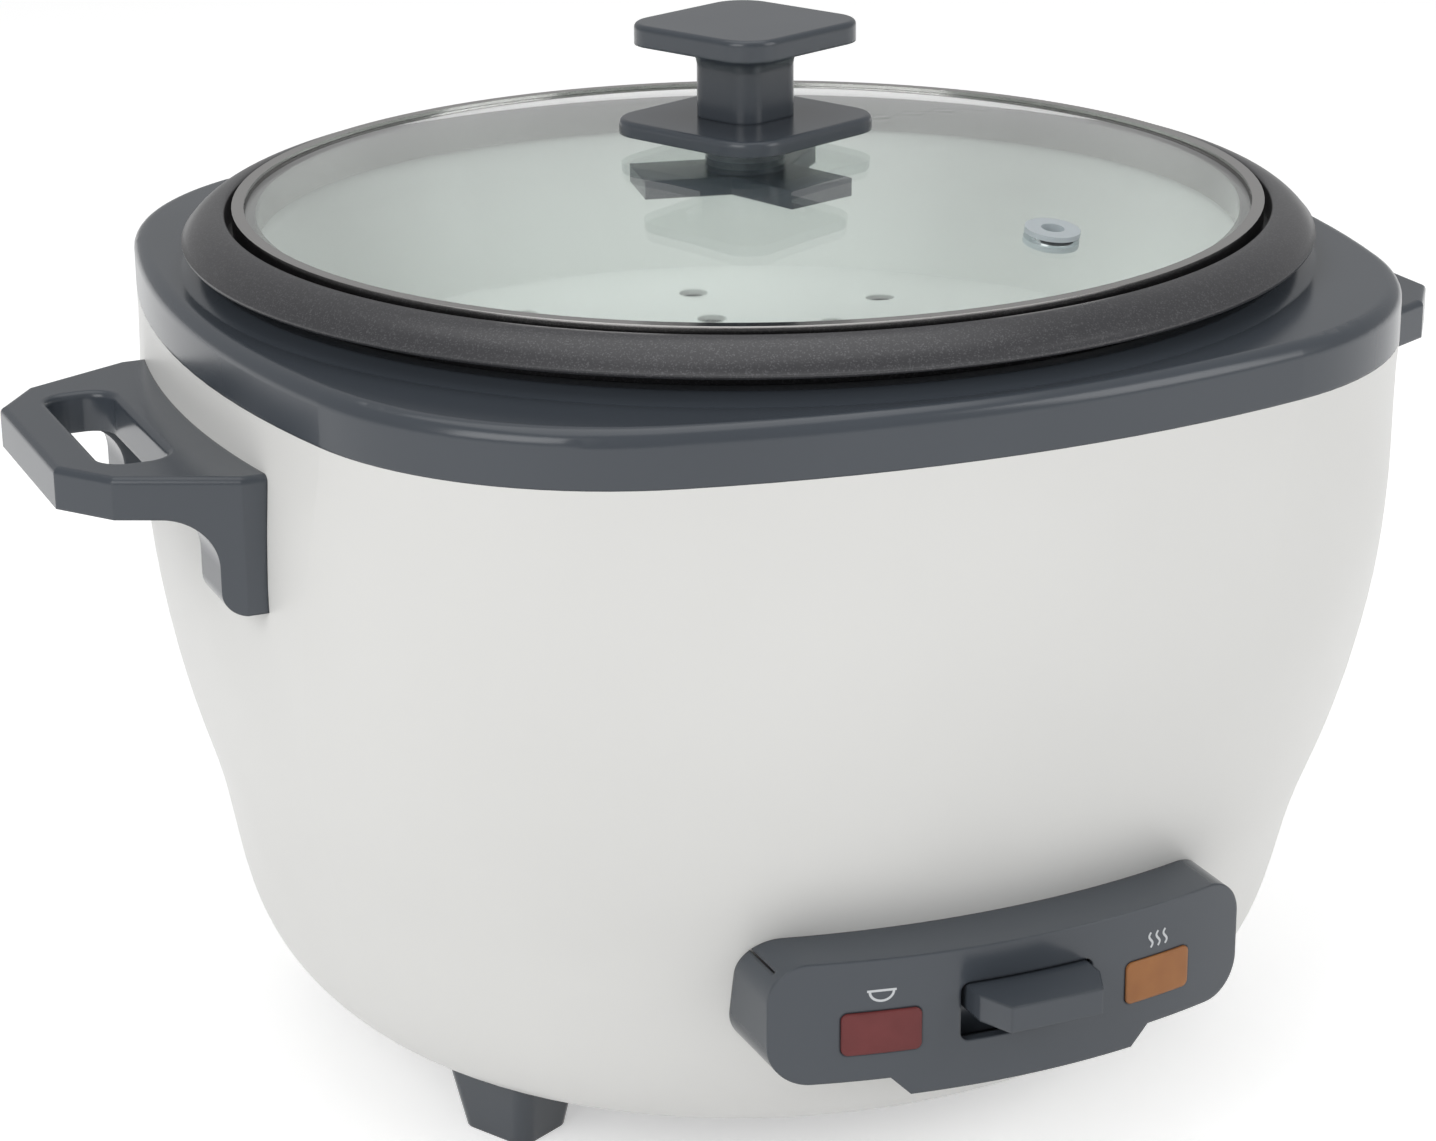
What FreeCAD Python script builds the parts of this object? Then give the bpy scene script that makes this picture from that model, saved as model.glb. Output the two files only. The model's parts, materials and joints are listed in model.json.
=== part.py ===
import FreeCAD, Part
import math
import os
import Sketcher
from FreeCAD import Placement, Rotation, Vector

# Rice cooker with a steamer basket, in millimetres. The origin is on the surface it stands on, under the
# middle of the pot; +Z is up, the switch panel faces -Y and the handles are at -X and +X.

DIMENSIONS = {
    # outer body: its rounded-square sections swell or taper from the half width at the collar seam
    "foot_height": 16.0,
    "body_height": 167.6,
    "body_wall": 2.6,
    "shoulder_swell": 1.3,
    "belly_swell": 1.9,
    "waist_taper": 0.5,
    "middle_taper": 5.9,
    "low_taper": 11.8,
    "heel_taper": 18.2,
    "heel_height": 18.0,
    "roll_taper": 27.6,
    "roll_height": 7.0,
    "floor_taper": 43.4,
    "seam_flat": 160.0,
    "seam_ease": 60.0,
    "floor_flat": 12.0,
    "floor_ease": 6.0,
    # fits
    "fit_gap": 0.05,
    "slide_gap": 0.3,
    "seat_gap": 0.4,
    # collar
    "collar_width": 15.1,
    "collar_height": 12.5,
    "collar_wall": 3.0,
    "collar_round": 3.5,
    "collar_rise": 2.0,
    "collar_slope": 9.5,
    "collar_land": 4.5,
    "spigot_depth": 6.0,
    "spigot_wall": 2.0,
    "spigot_gap": 0.8,
    "liner_hang": 2.4,
    # base plate and feet
    "base_plate_inset": 2.0,
    "base_plate_wall": 2.5,
    "base_lip": 11.0,
    "vent_slot_long": 22.0,
    "vent_slot_wide": 4.0,
    "vent_ring_r": 52.0,
    "foot_inset": 5.0,
    "foot_angle": 28.0,
    "foot_top_wide": 28.6,
    "foot_top_deep": 24.0,
    "foot_low_wide": 20.0,
    "foot_low_deep": 17.0,
    "foot_corner_r": 4.0,
    "foot_recess": 8.0,
    # screws
    "screw_r": 2.0,
    "screw_head_r": 4.0,
    "screw_head": 2.4,
    "screw_play": 0.4,
    # handles
    "handle_drop": 12.0,
    "handle_reach": 35.0,
    "handle_wall": 9.5,
    "handle_root": 9.0,
    "handle_bar": 10.5,
    "handle_outer_half": 25.0,
    "handle_bend_in": 9.5,
    "handle_bend_half": 38.0,
    "handle_root_half": 50.0,
    "handle_gap_half": 28.0,
    "handle_gap_r": 6.0,
    "handle_edge": 1.6,
    "handle_leg": 31.5,
    "handle_leg_deep": 5.0,
    "handle_leg_gap_half": 32.0,
    "handle_sweep_r": 11.0,
    # heating well
    "bay_height": 37.0,
    "liner_wall": 0.8,
    "liner_lip": 10.0,
    "liner_flange": 4.5,
    "liner_gap": 1.0,
    "liner_corner_r": 14.0,
    "spacer_height": 3.2,
    "spacer_r": 5.0,
    "spacer_edge": 10.0,
    "plate_r": 88.0,
    "plate_thick": 11.0,
    "plate_bore_gap": 1.5,
    "element_edge": 6.0,
    "element_r": 3.3,
    "element_sink": 1.0,
    "element_sweep": 320.0,
    "terminal_r": 2.2,
    "terminal_length": 11.0,
    "warm_band_drop": 60.0,
    "warm_band_height": 35.0,
    "warm_band_thick": 1.2,
    "fuse_r": 2.3,
    "fuse_length": 14.0,
    "fuse_edge": 22.0,
    # pot
    "pot_wall": 1.8,
    "pot_lift": 5.6,
    "pot_mouth_r": 120.4,
    "pot_ledge": 2.6,
    "pot_flare": 8.6,
    "pot_rim_height": 7.0,
    "pot_recess": 6.6,
    "pot_taper": 14.0,
    "pot_corner_r": 26.0,
    # steamer basket
    "basket_wall": 1.4,
    "basket_rim": 1.8,
    "basket_rim_gap": 2.2,
    "basket_gap": 0.6,
    "basket_taper": 12.0,
    "basket_depth": 43.0,
    "basket_hole_r": 3.75,
    "basket_hole_angle": 76.0,
    "basket_outer_ring": 79.0,
    "basket_inner_ring": 50.0,
    "basket_core_ring": 22.0,
    # lid
    "lid_turn": 23.5,
    "lid_gap": 1.6,
    "band_wall": 0.8,
    "band_lip": 2.0,
    "band_shelf": 4.4,
    "band_skirt": 6.5,
    "glass_thick": 3.6,
    "glass_rise": 11.7,
    "stud_r": 3.0,
    "stud_play": 0.8,
    "vent_ring": 91.0,
    "vent_bore_r": 2.6,
    "vent_sleeve_r": 4.4,
    "vent_flange_r": 6.2,
    "vent_flange": 1.2,
    "washer_r": 9.5,
    "washer_thick": 3.0,
    "knob_base_half": 24.0,
    "knob_base_round": 10.0,
    "knob_base_thick": 3.6,
    "knob_neck_half": 9.5,
    "knob_neck_round": 5.0,
    "knob_neck_height": 17.5,
    "knob_plate_half": 21.0,
    "knob_plate_round": 9.0,
    "knob_plate_thick": 5.0,
    "knob_flare": 5.5,
    "knob_edge": 1.2,
    "nut_boss_height": 4.4,
    "nut_lobe_thick": 4.0,
    "nut_reach": 26.0,
    "nut_lobe_half": 9.5,
    "nut_turn": 25.0,
    # sprung heat sensor, magnet and lever
    "sensor_r": 15.5,
    "sensor_wall": 1.0,
    "sensor_flange": 2.0,
    "cap_below": 1.9,
    "housing_gap": 0.7,
    "housing_wall": 1.0,
    "sensor_spring_height": 5.6,
    "housing_flange": 5.8,
    "housing_bore_r": 5.6,
    "ferrite_thick": 3.2,
    "magnet_r": 8.0,
    "magnet_thick": 2.9,
    "carrier_r": 12.0,
    "carrier_thick": 1.5,
    "carrier_lift": 2.4,
    "rod_r": 2.0,
    "rod_collar_r": 4.4,
    "rod_collar": 1.3,
    "fork_play": 0.5,
    "sensor_wire_r": 0.5,
    "release_wire_r": 0.4,
    "pivot_inset": 30.0,
    "lever_travel": 4.5,
    "arm_thick": 1.5,
    "arm_half": 6.0,
    "arm_tail": 6.0,
    "arm_eye_r": 3.6,
    "arm_step_at": 24.0,
    "arm_step_long": 12.0,
    "arm_front_gap": 1.6,
    "fork_half": 2.7,
    "pin_r": 1.95,
    "pin_play": 0.1,
    "bracket_wall": 1.2,
    "bracket_ear_gap": 2.2,
    "bracket_half_long": 7.0,
    "bracket_ear_top": 5.0,
    "switch_ahead": 16.0,
    "switch_half_long": 7.0,
    "switch_half_wide": 3.2,
    "switch_height": 10.0,
    "button_r": 1.6,
    "button_stand": 1.5,
    "button_depth": 2.0,
    # switch panel
    "panel_reach": 19.4,
    "panel_face_r": 176.0,
    "panel_half": 57.5,
    "panel_wall": 2.5,
    "panel_above_slot": 8.2,
    "panel_below_slot": 6.4,
    "panel_corner_r": 9.0,
    "tongue_half": 27.0,
    "tongue_drop": 4.5,
    "tongue_step": 4.5,
    "slot_side_gap": 1.5,
    "slot_gap": 0.6,
    "slot_corner_r": 2.0,
    "paddle_half": 14.5,
    "paddle_tip_half": 11.0,
    "paddle_reach": 13.0,
    "paddle_taper": 8.0,
    "paddle_thick": 6.0,
    "paddle_rise": 7.7,
    "paddle_root": 7.0,
    "paddle_seat": 1.6,
    "lens_at": 33.6,
    "lens_half_wide": 8.7,
    "lens_half_high": 4.9,
    "lens_corner_r": 1.5,
    "lens_proud": 0.4,
    "lens_depth": 13.0,
    "lens_front": 3.0,
    "lamp_r": 2.6,
    "lamp_length": 8.0,
    "panel_screw_at": 50.0,
    "boss_r": 4.0,
    # power inlet
    "inlet_below": 1.6,
    "inlet_half_wide": 14.0,
    "inlet_half_high": 10.5,
    "inlet_inside": 21.0,
    "inlet_proud": 2.4,
    "inlet_rim": 4.5,
    "inlet_corner_r": 3.0,
    "inlet_wall": 2.2,
    "inlet_depth": 16.0,
    "inlet_pin_step": 7.0,
    "inlet_pin_wide": 2.0,
    "inlet_pin_high": 4.0,
    "inlet_pin_rise": 2.5,
    "inlet_pin_short": 3.5,
    "lead_r": 1.1,
    "lead_level": 9.0,
}
BASKET_HOLES = 10
VENT_SLOTS = 12
SENSOR_TURNS = 3
RELEASE_TURNS = 2
ARC_STEPS_PER_TURN = 2
BEND_SHARE = 0.45

doc = FreeCAD.newDocument("rice_cooker")
sheet = doc.addObject("Spreadsheet::Sheet", "sizes")
for row, (alias, value) in enumerate(DIMENSIONS.items(), start=1):
    sheet.set(f"A{row}", alias)
    sheet.set(f"B{row}", str(value))
    sheet.setAlias(f"B{row}", alias)
doc.recompute()

nodes = {}


class Dim:
    """A size and its formula. Arithmetic on it works out the value and writes the formula side by side."""

    def __init__(self, formula, value):
        self.formula = formula
        self.value = value

    def join(self, sign, other, value):
        return Dim(f"({self.formula} {sign} {as_dim(other).formula})", value)

    def __add__(self, other):
        return self.join("+", other, self.value + as_dim(other).value)

    def __sub__(self, other):
        return self.join("-", other, self.value - as_dim(other).value)

    def __mul__(self, other):
        return self.join("*", other, self.value * as_dim(other).value)

    def __truediv__(self, other):
        return self.join("/", other, self.value / as_dim(other).value)

    def __radd__(self, other):
        return as_dim(other) + self

    def __rsub__(self, other):
        return as_dim(other) - self

    def __rmul__(self, other):
        return as_dim(other) * self

    def __neg__(self):
        return self * -1


def as_dim(value):
    return value if isinstance(value, Dim) else Dim(repr(float(value)), float(value))


def root(dim):
    return Dim(f"sqrt({dim.formula})", math.sqrt(dim.value))


def cosine(angle):
    return Dim(f"cos({angle.formula})", math.cos(math.radians(angle.value)))


def sine(angle):
    return Dim(f"sin({angle.formula})", math.sin(math.radians(angle.value)))


class Sizes:
    """Reads the driving dimensions by name, as size.pot_wall."""

    def __getattr__(self, alias):
        return Dim(f"sizes.{alias}", float(sheet.get(alias)))


size = Sizes()


def bind(target, name, dim):
    target.setExpression(name, as_dim(dim).formula)


def new_body(label):
    body = doc.addObject("PartDesign::Body", label)
    body.Label = label
    return body


def keep(label, feature):
    """Names the finished object of a sub-part and lists it for writing."""
    feature.Label = label
    nodes[label] = feature
    return feature


# Sketches: corners and centres are held by their coordinates, and every coordinate has its formula

def new_sketch(body, name, plane, offset=0.0):
    sketch = body.newObject("Sketcher::SketchObject", name)
    support = [feature for feature in body.Origin.OriginFeatures if feature.Role == plane][0]
    sketch.AttachmentSupport = [(support, "")]
    sketch.MapMode = "FlatFace"
    sketch.AttachmentOffset = Placement(Vector(0, 0, as_dim(offset).value), Rotation())
    bind(sketch, "AttachmentOffset.Base.z", offset)
    return sketch


def lock(sketch, edge, point, x, y):
    for coordinate, kind, axis in ((x, "DistanceX", -2), (y, "DistanceY", -1)):
        if as_dim(coordinate).formula == "0.0":
            sketch.addConstraint(Sketcher.Constraint("PointOnObject", edge, point, axis))
        else:
            place = sketch.addConstraint(Sketcher.Constraint(kind, edge, point, as_dim(coordinate).value))
            bind(sketch, f"Constraints[{place}]", coordinate)


def set_radius(sketch, edge, radius):
    place = sketch.addConstraint(Sketcher.Constraint("Radius", edge, radius.value))
    bind(sketch, f"Constraints[{place}]", radius)


def add_arc(sketch, centre, radius, start, end):
    circle = Part.Circle(Vector(centre[0], centre[1], 0), Vector(0, 0, 1), radius)
    return sketch.addGeometry(Part.ArcOfCircle(circle, start, end), False)


def add_circle(sketch, x, y, radius):
    centre = Vector(as_dim(x).value, as_dim(y).value, 0)
    edge = sketch.addGeometry(Part.Circle(centre, Vector(0, 0, 1), radius.value), False)
    lock(sketch, edge, 3, x, y)
    set_radius(sketch, edge, radius)


def arc_between(sketch, start, end, radius, clockwise):
    """Short arc from start to end, about a centre on its left, or on its right if it runs clockwise."""
    chord = end - start
    half = chord.Length / 2
    side = Vector(-chord.y, chord.x, 0) * (1 / chord.Length)
    height = math.sqrt(max(radius ** 2 - half ** 2, 0.0))
    centre = (start + end) * 0.5 + side * (-height if clockwise else height)
    first, last = (end, start) if clockwise else (start, end)
    first_angle = math.atan2(first.y - centre.y, first.x - centre.x)
    last_angle = math.atan2(last.y - centre.y, last.x - centre.x)
    return add_arc(sketch, centre, radius, first_angle, last_angle)


def outline(sketch, corners):
    """Closed outline of (x, y) corners. A third entry makes the edge to the next corner an arc of that
    radius, and a fourth, True, turns it clockwise."""
    points = [Vector(as_dim(corner[0]).value, as_dim(corner[1]).value, 0) for corner in corners]
    edges = []
    for index, corner in enumerate(corners):
        start = points[index]
        end = points[(index + 1) % len(points)]
        if len(corner) == 2:
            edges.append((sketch.addGeometry(Part.LineSegment(start, end), False), 1, 2))
        else:
            clockwise = len(corner) == 4 and corner[3]
            edge = arc_between(sketch, start, end, corner[2].value, clockwise)
            edges.append((edge, 2, 1) if clockwise else (edge, 1, 2))
    for index, corner in enumerate(corners):
        edge, begin, finish = edges[index]
        following = edges[(index + 1) % len(edges)]
        sketch.addConstraint(Sketcher.Constraint("Coincident", edge, finish, following[0], following[1]))
        lock(sketch, edge, begin, corner[0], corner[1])
        if len(corner) > 2:
            set_radius(sketch, edge, corner[2])


def rectangle(sketch, left, right, low, high):
    outline(sketch, [(left, low), (right, low), (right, high), (left, high)])


def rounded_rectangle(sketch, x, y, half_x, half_y, radius):
    left = x - half_x
    right = x + half_x
    low = y - half_y
    high = y + half_y
    outline(sketch, [
        (left + radius, low), (right - radius, low, radius),
        (right, low + radius), (right, high - radius, radius),
        (right - radius, high), (left + radius, high, radius),
        (left, high - radius), (left, low + radius, radius),
    ])


def squircle(sketch, half, flat, ease):
    """Rounded square of eight tangent arcs: sides bowed about far centres and rounder corners between."""
    side_r = half + flat
    corner_r = half - ease
    corner_at = (math.sqrt(2 * (flat.value + ease.value) ** 2 - flat.value ** 2) - flat.value) / 2
    swing = math.atan2(corner_at, corner_at + flat.value)
    quarter_turn = math.pi / 2
    for quarter in range(4):
        turn = Rotation(Vector(0, 0, 1), 90 * quarter)
        side_at = turn.multVec(Vector(-flat.value, 0, 0))
        round_at = turn.multVec(Vector(corner_at, corner_at, 0))
        start = quarter_turn * quarter
        add_arc(sketch, side_at, side_r.value, start - swing, start + swing)
        add_arc(sketch, round_at, corner_r.value, start + swing, start + quarter_turn - swing)
    for edge in range(8):
        sketch.addConstraint(Sketcher.Constraint("Tangent", edge, 2, (edge + 1) % 8, 1))
    for quarter, centre in enumerate(((-flat, 0.0), (0.0, -flat), (flat, 0.0), (0.0, flat))):
        lock(sketch, 2 * quarter, 3, *centre)
        set_radius(sketch, 2 * quarter, side_r)
        set_radius(sketch, 2 * quarter + 1, corner_r)


# Features

def extrude(body, kind, name, sketch, length, reverse=False, middle=False):
    feature = body.newObject(kind, name)
    feature.Profile = sketch
    feature.Length = as_dim(length).value
    bind(feature, "Length", length)
    feature.Reversed = reverse
    feature.SideType = "Symmetric" if middle else "One side"
    body.Tip = feature
    return feature


def pad(body, name, sketch, length, reverse=False, middle=False):
    return extrude(body, "PartDesign::Pad", name, sketch, length, reverse, middle)


def pocket(body, name, sketch, length, reverse=False, middle=False):
    return extrude(body, "PartDesign::Pocket", name, sketch, length, reverse, middle)


def revolve(body, name, profile):
    sketch = new_sketch(body, name + "_profile", "XZ_Plane")
    outline(sketch, profile)
    feature = body.newObject("PartDesign::Revolution", name)
    feature.Profile = sketch
    feature.ReferenceAxis = (sketch, ["V_Axis"])
    feature.Angle = 360
    body.Tip = feature
    return feature


def loft(body, kind, name, sketches):
    feature = body.newObject(kind, name)
    feature.Profile = sketches[0]
    feature.Sections = sketches[1:]
    body.Tip = feature
    return feature


def ring_of(body, name, original, count):
    pattern = body.newObject("PartDesign::PolarPattern", name)
    pattern.Originals = [original]
    pattern.Axis = (original.Profile[0], ["N_Axis"])
    pattern.Angle = 360
    pattern.Occurrences = count
    body.Tip = pattern
    return pattern


def fillet(body, name, edges, radius):
    """Rounds the edges of the body's last feature that the given test picks by their shape."""
    doc.recompute()
    base = body.Tip
    picked = [f"Edge{number}" for number, edge in enumerate(base.Shape.Edges, start=1) if edges(edge)]
    feature = body.newObject("PartDesign::Fillet", name)
    feature.Base = (base, picked)
    feature.Radius = radius.value
    bind(feature, "Radius", radius)
    body.Tip = feature
    return feature


def at_height(height):
    """Test for edges that lie level at a height."""
    def test(edge):
        box = edge.BoundBox
        return abs(box.ZMin - height.value) < 0.01 and abs(box.ZMax - height.value) < 0.01
    return test


def place_at(target, x, y, z):
    bind(target, "Placement.Base.x", x)
    bind(target, "Placement.Base.y", y)
    bind(target, "Placement.Base.z", z)


def cylinder(name, radius, length, start, direction):
    rod = doc.addObject("Part::Cylinder", name)
    bind(rod, "Radius", radius)
    bind(rod, "Height", length)
    rod.Placement = Placement(Vector(), Rotation(Vector(0, 0, 1), direction))
    place_at(rod, *start)
    return rod


def block(name, length, width, height, start):
    box = doc.addObject("Part::Box", name)
    bind(box, "Length", length)
    bind(box, "Width", width)
    bind(box, "Height", height)
    place_at(box, *start)
    return box


def cut(label, base, tool):
    feature = doc.addObject("Part::Cut", label)
    feature.Base = base
    feature.Tool = tool
    return keep(label, feature)


def fuse(name, first, second):
    feature = doc.addObject("Part::Fuse", name)
    feature.Base = first
    feature.Tool = second
    return feature


def group(label, members):
    feature = doc.addObject("Part::Compound", label)
    feature.Links = members
    return keep(label, feature)


def screw(label, seat, direction, length):
    """Pan-head screw: its head sits at the seat, and its shank runs from there along the direction."""
    head_start = [place - size.screw_head * step for place, step in zip(seat, direction)]
    head = cylinder(label + "_head", size.screw_head_r, size.screw_head, head_start, direction)
    shank = cylinder(label + "_shank", size.screw_r, length, seat, direction)
    return fuse(label, head, shank)


def screws(label, seats, direction, length):
    """Like screws that all point one way."""
    return group(label, [screw(f"{label}_{number}", seat, direction, length)
                         for number, seat in enumerate(seats, start=1)])


def tube_along(edges, radius):
    """Round wire along a path of lines and arcs."""
    path = Part.Wire(edges)
    start = edges[0].valueAt(edges[0].FirstParameter)
    heading = edges[0].tangentAt(edges[0].FirstParameter)
    section = Part.Wire(Part.makeCircle(radius, start, heading))
    shell = Part.BRepOffsetAPI.MakePipeShell(path)
    shell.add(section)
    shell.build()
    shell.makeSolid()
    return shell.shape()


def spring(label, coil_r, wire_r, low, high, turns):
    """Compression spring between two heights, its wire wound in short arcs."""
    climb = (high - low - 2 * wire_r) / turns
    steps = turns * ARC_STEPS_PER_TURN

    def on_coil(turn):
        angle = 2 * math.pi * turn
        return Vector(coil_r * math.cos(angle), coil_r * math.sin(angle), low + wire_r + climb * turn)

    arcs = []
    for step in range(steps):
        marks = [(step + share) / ARC_STEPS_PER_TURN for share in (0.0, 0.5, 1.0)]
        arcs.append(Part.Arc(*[on_coil(mark) for mark in marks]).toShape())
    coil = doc.addObject("Part::Feature", label)
    coil.Shape = tube_along(arcs, wire_r)
    return keep(label, coil)


def lead(label, points, radius):
    """Insulated wire along a route, with a tangent arc as large as its runs allow at each corner."""
    edges = []
    last = points[0]
    for before, corner, after in zip(points, points[1:], points[2:]):
        back = before - corner
        ahead = after - corner
        turn = math.pi - back.getAngle(ahead)
        reach = BEND_SHARE * min(back.Length, ahead.Length)
        begin = corner + back * (reach / back.Length)
        finish = corner + ahead * (reach / ahead.Length)
        bend_r = reach / math.tan(turn / 2)
        middle_line = (back * (1 / back.Length) + ahead * (1 / ahead.Length)).normalize()
        centre = corner + middle_line * math.hypot(bend_r, reach)
        edges.append(Part.LineSegment(last, begin).toShape())
        edges.append(Part.Arc(begin, centre - middle_line * bend_r, finish).toShape())
        last = finish
    edges.append(Part.LineSegment(last, points[-1]).toShape())
    wire = doc.addObject("Part::Feature", label)
    wire.Shape = tube_along(edges, radius)
    return keep(label, wire)


# Heights, from the standing surface up

floor_z = size.foot_height
seam_z = floor_z + size.body_height
base_z = floor_z + size.body_wall
base_top = base_z + size.base_plate_wall
liner_z = base_top + size.bay_height
plate_z = liner_z + size.liner_wall + size.spacer_height
plate_top = plate_z + size.plate_thick
pot_z = plate_top + size.seat_gap
collar_top = seam_z + size.collar_height
rim_z = collar_top + size.pot_lift
rim_top = rim_z + size.pot_rim_height
ledge_z = rim_top - size.pot_recess
basket_rim_z = ledge_z + size.slide_gap
basket_top = basket_rim_z + size.basket_rim
basket_z = basket_top - size.basket_depth
band_z = basket_top + size.slide_gap
glass_z = band_z + size.band_wall + size.fit_gap
glass_edge_top = glass_z + size.glass_thick
band_top = glass_edge_top + size.fit_gap + size.band_wall
crown_z = glass_edge_top + size.glass_rise
knob_base_z = crown_z + size.washer_thick
neck_z = knob_base_z + size.knob_base_thick
knob_plate_z = neck_z + size.knob_neck_height
knob_top = knob_plate_z + size.knob_plate_thick


# Radii, from the pot's mouth out to the body and in to the lid

pot_base_r = size.pot_mouth_r - size.pot_taper
pot_recess_r = size.pot_mouth_r + size.pot_ledge
pot_top_r = pot_recess_r + size.pot_wall
pot_rim_r = pot_top_r + size.pot_flare
liner_r = size.pot_mouth_r + size.pot_wall + size.liner_gap
liner_outer_r = liner_r + size.liner_wall
collar_open_r = liner_outer_r + size.slide_gap
seam_half = collar_open_r + size.collar_width
belly_half = seam_half + size.belly_swell
low_half = seam_half - size.low_taper
heel_half = seam_half - size.heel_taper
floor_half = seam_half - size.floor_taper
base_plate_r = floor_half - size.base_plate_inset
foot_ring_r = floor_half - size.foot_inset
spacer_ring_r = size.plate_r - size.spacer_edge
liner_opening_r = spacer_ring_r - size.liner_lip
element_ring_r = liner_opening_r - size.element_edge
basket_mouth_r = size.pot_mouth_r - size.basket_gap - size.basket_wall
basket_floor_r = basket_mouth_r - size.basket_taper
band_r = pot_recess_r - size.lid_gap
glass_r = band_r - size.band_wall - size.fit_gap
dome_r = glass_r - size.band_lip
dome_sphere_r = (dome_r * dome_r + size.glass_rise * size.glass_rise) / (size.glass_rise * 2)
nut_sag = size.washer_r * size.washer_r / (dome_sphere_r * 2) + size.fit_gap
nut_boss_z = crown_z - size.glass_thick - nut_sag - size.nut_boss_height
nut_z = nut_boss_z - size.nut_lobe_thick


# Outer body: the same rounded-square sections make the shell, its hollow and the shape pieces are fitted to

heel_z = floor_z + size.heel_height
side_step = (seam_z - heel_z) / 6


def body_section(body, name, height, half):
    share = (height - floor_z) / size.body_height
    flat = size.floor_flat + (size.seam_flat - size.floor_flat) * share
    ease = size.floor_ease + (size.seam_ease - size.floor_ease) * share
    sketch = new_sketch(body, name, "XY_Plane", height)
    squircle(sketch, half, flat, ease)
    return sketch


def body_loft(body, kind, name, inset):
    """Loft through the body's sections, with the skin moved in by inset, or out if it is negative."""
    side_halves = (
        seam_half,
        seam_half + size.shoulder_swell,
        belly_half,
        seam_half - size.waist_taper,
        seam_half - size.middle_taper,
        low_half,
        heel_half,
    )
    levels = [(seam_z - side_step * number, half - inset) for number, half in enumerate(side_halves)]
    levels.append((floor_z + size.roll_height + inset / 2, seam_half - size.roll_taper - inset / 2))
    levels.append((floor_z + inset, floor_half))
    sketches = [body_section(body, f"{name}_{number}", *level)
                for number, level in enumerate(levels, start=1)]
    return loft(body, kind, name, sketches)


fitting_shape = new_body("fitting_shape")
body_loft(fitting_shape, "PartDesign::AdditiveLoft", "fitting_skin", -size.fit_gap)

handle_top = seam_z - size.handle_drop
handle_low = handle_top - size.handle_leg
handle_screw_z = (handle_top + handle_low) / 2 - size.screw_r
handle_screw_y = (size.handle_root_half + size.handle_leg_gap_half) / 2

# Lever heights: the arm's tail hangs below the sensor housing with room to rise, its front under the liner
cap_low = plate_z - size.cap_below
housing_z = cap_low - size.sensor_spring_height - size.housing_wall
pivot_reach = base_plate_r - size.pivot_inset
lever_rise = pivot_reach * sine(size.lever_travel)
arm_z = housing_z - lever_rise - size.arm_thick - 2 * size.fork_play
pivot_z = arm_z + size.arm_thick - size.arm_eye_r - size.pin_r / 2
arm_front_z = liner_z - size.arm_front_gap - size.arm_thick
pivot_y = -pivot_reach
panel_face_y = -(low_half + size.panel_reach)
paddle_tip_y = panel_face_y - size.paddle_reach
paddle_z = arm_front_z + size.paddle_rise
paddle_top = paddle_z + size.paddle_thick
face_travel = (pivot_y - panel_face_y) * sine(size.lever_travel)
slot_z = paddle_z - face_travel - size.slot_gap
slot_top = paddle_top + size.slot_gap
panel_z = slot_z - size.panel_below_slot
panel_top = slot_top + size.panel_above_slot
lamp_z = (slot_z + slot_top) / 2 - size.slot_corner_r
arm_tip_y = panel_face_y + size.paddle_root + size.paddle_root - size.paddle_seat
inlet_z = liner_z - size.inlet_below - size.inlet_half_high

outer_body = new_body("outer_body")
body_loft(outer_body, "PartDesign::AdditiveLoft", "body_skin", as_dim(0.0))
body_loft(outer_body, "PartDesign::SubtractiveLoft", "body_hollow", size.body_wall)
floor_opening = new_sketch(outer_body, "floor_opening", "XY_Plane", floor_z)
add_circle(floor_opening, 0.0, 0.0, foot_ring_r - size.base_lip)
pocket(outer_body, "floor_cut", floor_opening, size.body_wall, reverse=True)

front_window = new_sketch(outer_body, "front_window", "XZ_Plane")
window_half = size.arm_half + size.slot_side_gap * 2
window_low = arm_front_z - face_travel
rectangle(front_window, -window_half, window_half, window_low,
          arm_front_z + size.arm_thick + size.slot_gap * 2)
pocket(outer_body, "front_cut", front_window, -panel_face_y, reverse=True)

panel_screw_holes = new_sketch(outer_body, "panel_screw_holes", "XZ_Plane")
for side in (-1, 1):
    add_circle(panel_screw_holes, size.panel_screw_at * side, lamp_z, size.screw_r + size.screw_play)
pocket(outer_body, "panel_screw_cut", panel_screw_holes, -panel_face_y, reverse=True)

rear_window = new_sketch(outer_body, "rear_window", "XZ_Plane")
rounded_rectangle(rear_window, as_dim(0.0), inlet_z, size.inlet_half_wide + size.fit_gap,
                  size.inlet_half_high + size.fit_gap, size.inlet_corner_r)
pocket(outer_body, "rear_cut", rear_window, belly_half)

handle_holes = new_sketch(outer_body, "handle_holes", "YZ_Plane")
for side in (-1, 1):
    add_circle(handle_holes, handle_screw_y * side, handle_screw_z, size.screw_r + size.screw_play)
pocket(outer_body, "handle_hole_cut", handle_holes, belly_half * 2 + size.handle_reach, middle=True)

foot_spots = []
for side_x, side_y in ((-1, -1), (1, -1), (-1, 1), (1, 1)):
    spot_x = foot_ring_r * cosine(size.foot_angle) * side_x
    spot_y = foot_ring_r * sine(size.foot_angle) * side_y
    foot_spots.append((spot_x, spot_y))
foot_holes = new_sketch(outer_body, "foot_holes", "XY_Plane", floor_z)
for spot in foot_spots:
    add_circle(foot_holes, spot[0], spot[1], size.screw_r + size.screw_play)
pocket(outer_body, "foot_hole_cut", foot_holes, size.body_wall, reverse=True)
keep("outer_body", outer_body)


# Top collar: rounded-square ring on the body's edge, hollow below, with a spigot inside the body

collar_inset = size.body_wall + size.spigot_gap + size.spigot_wall

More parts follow.
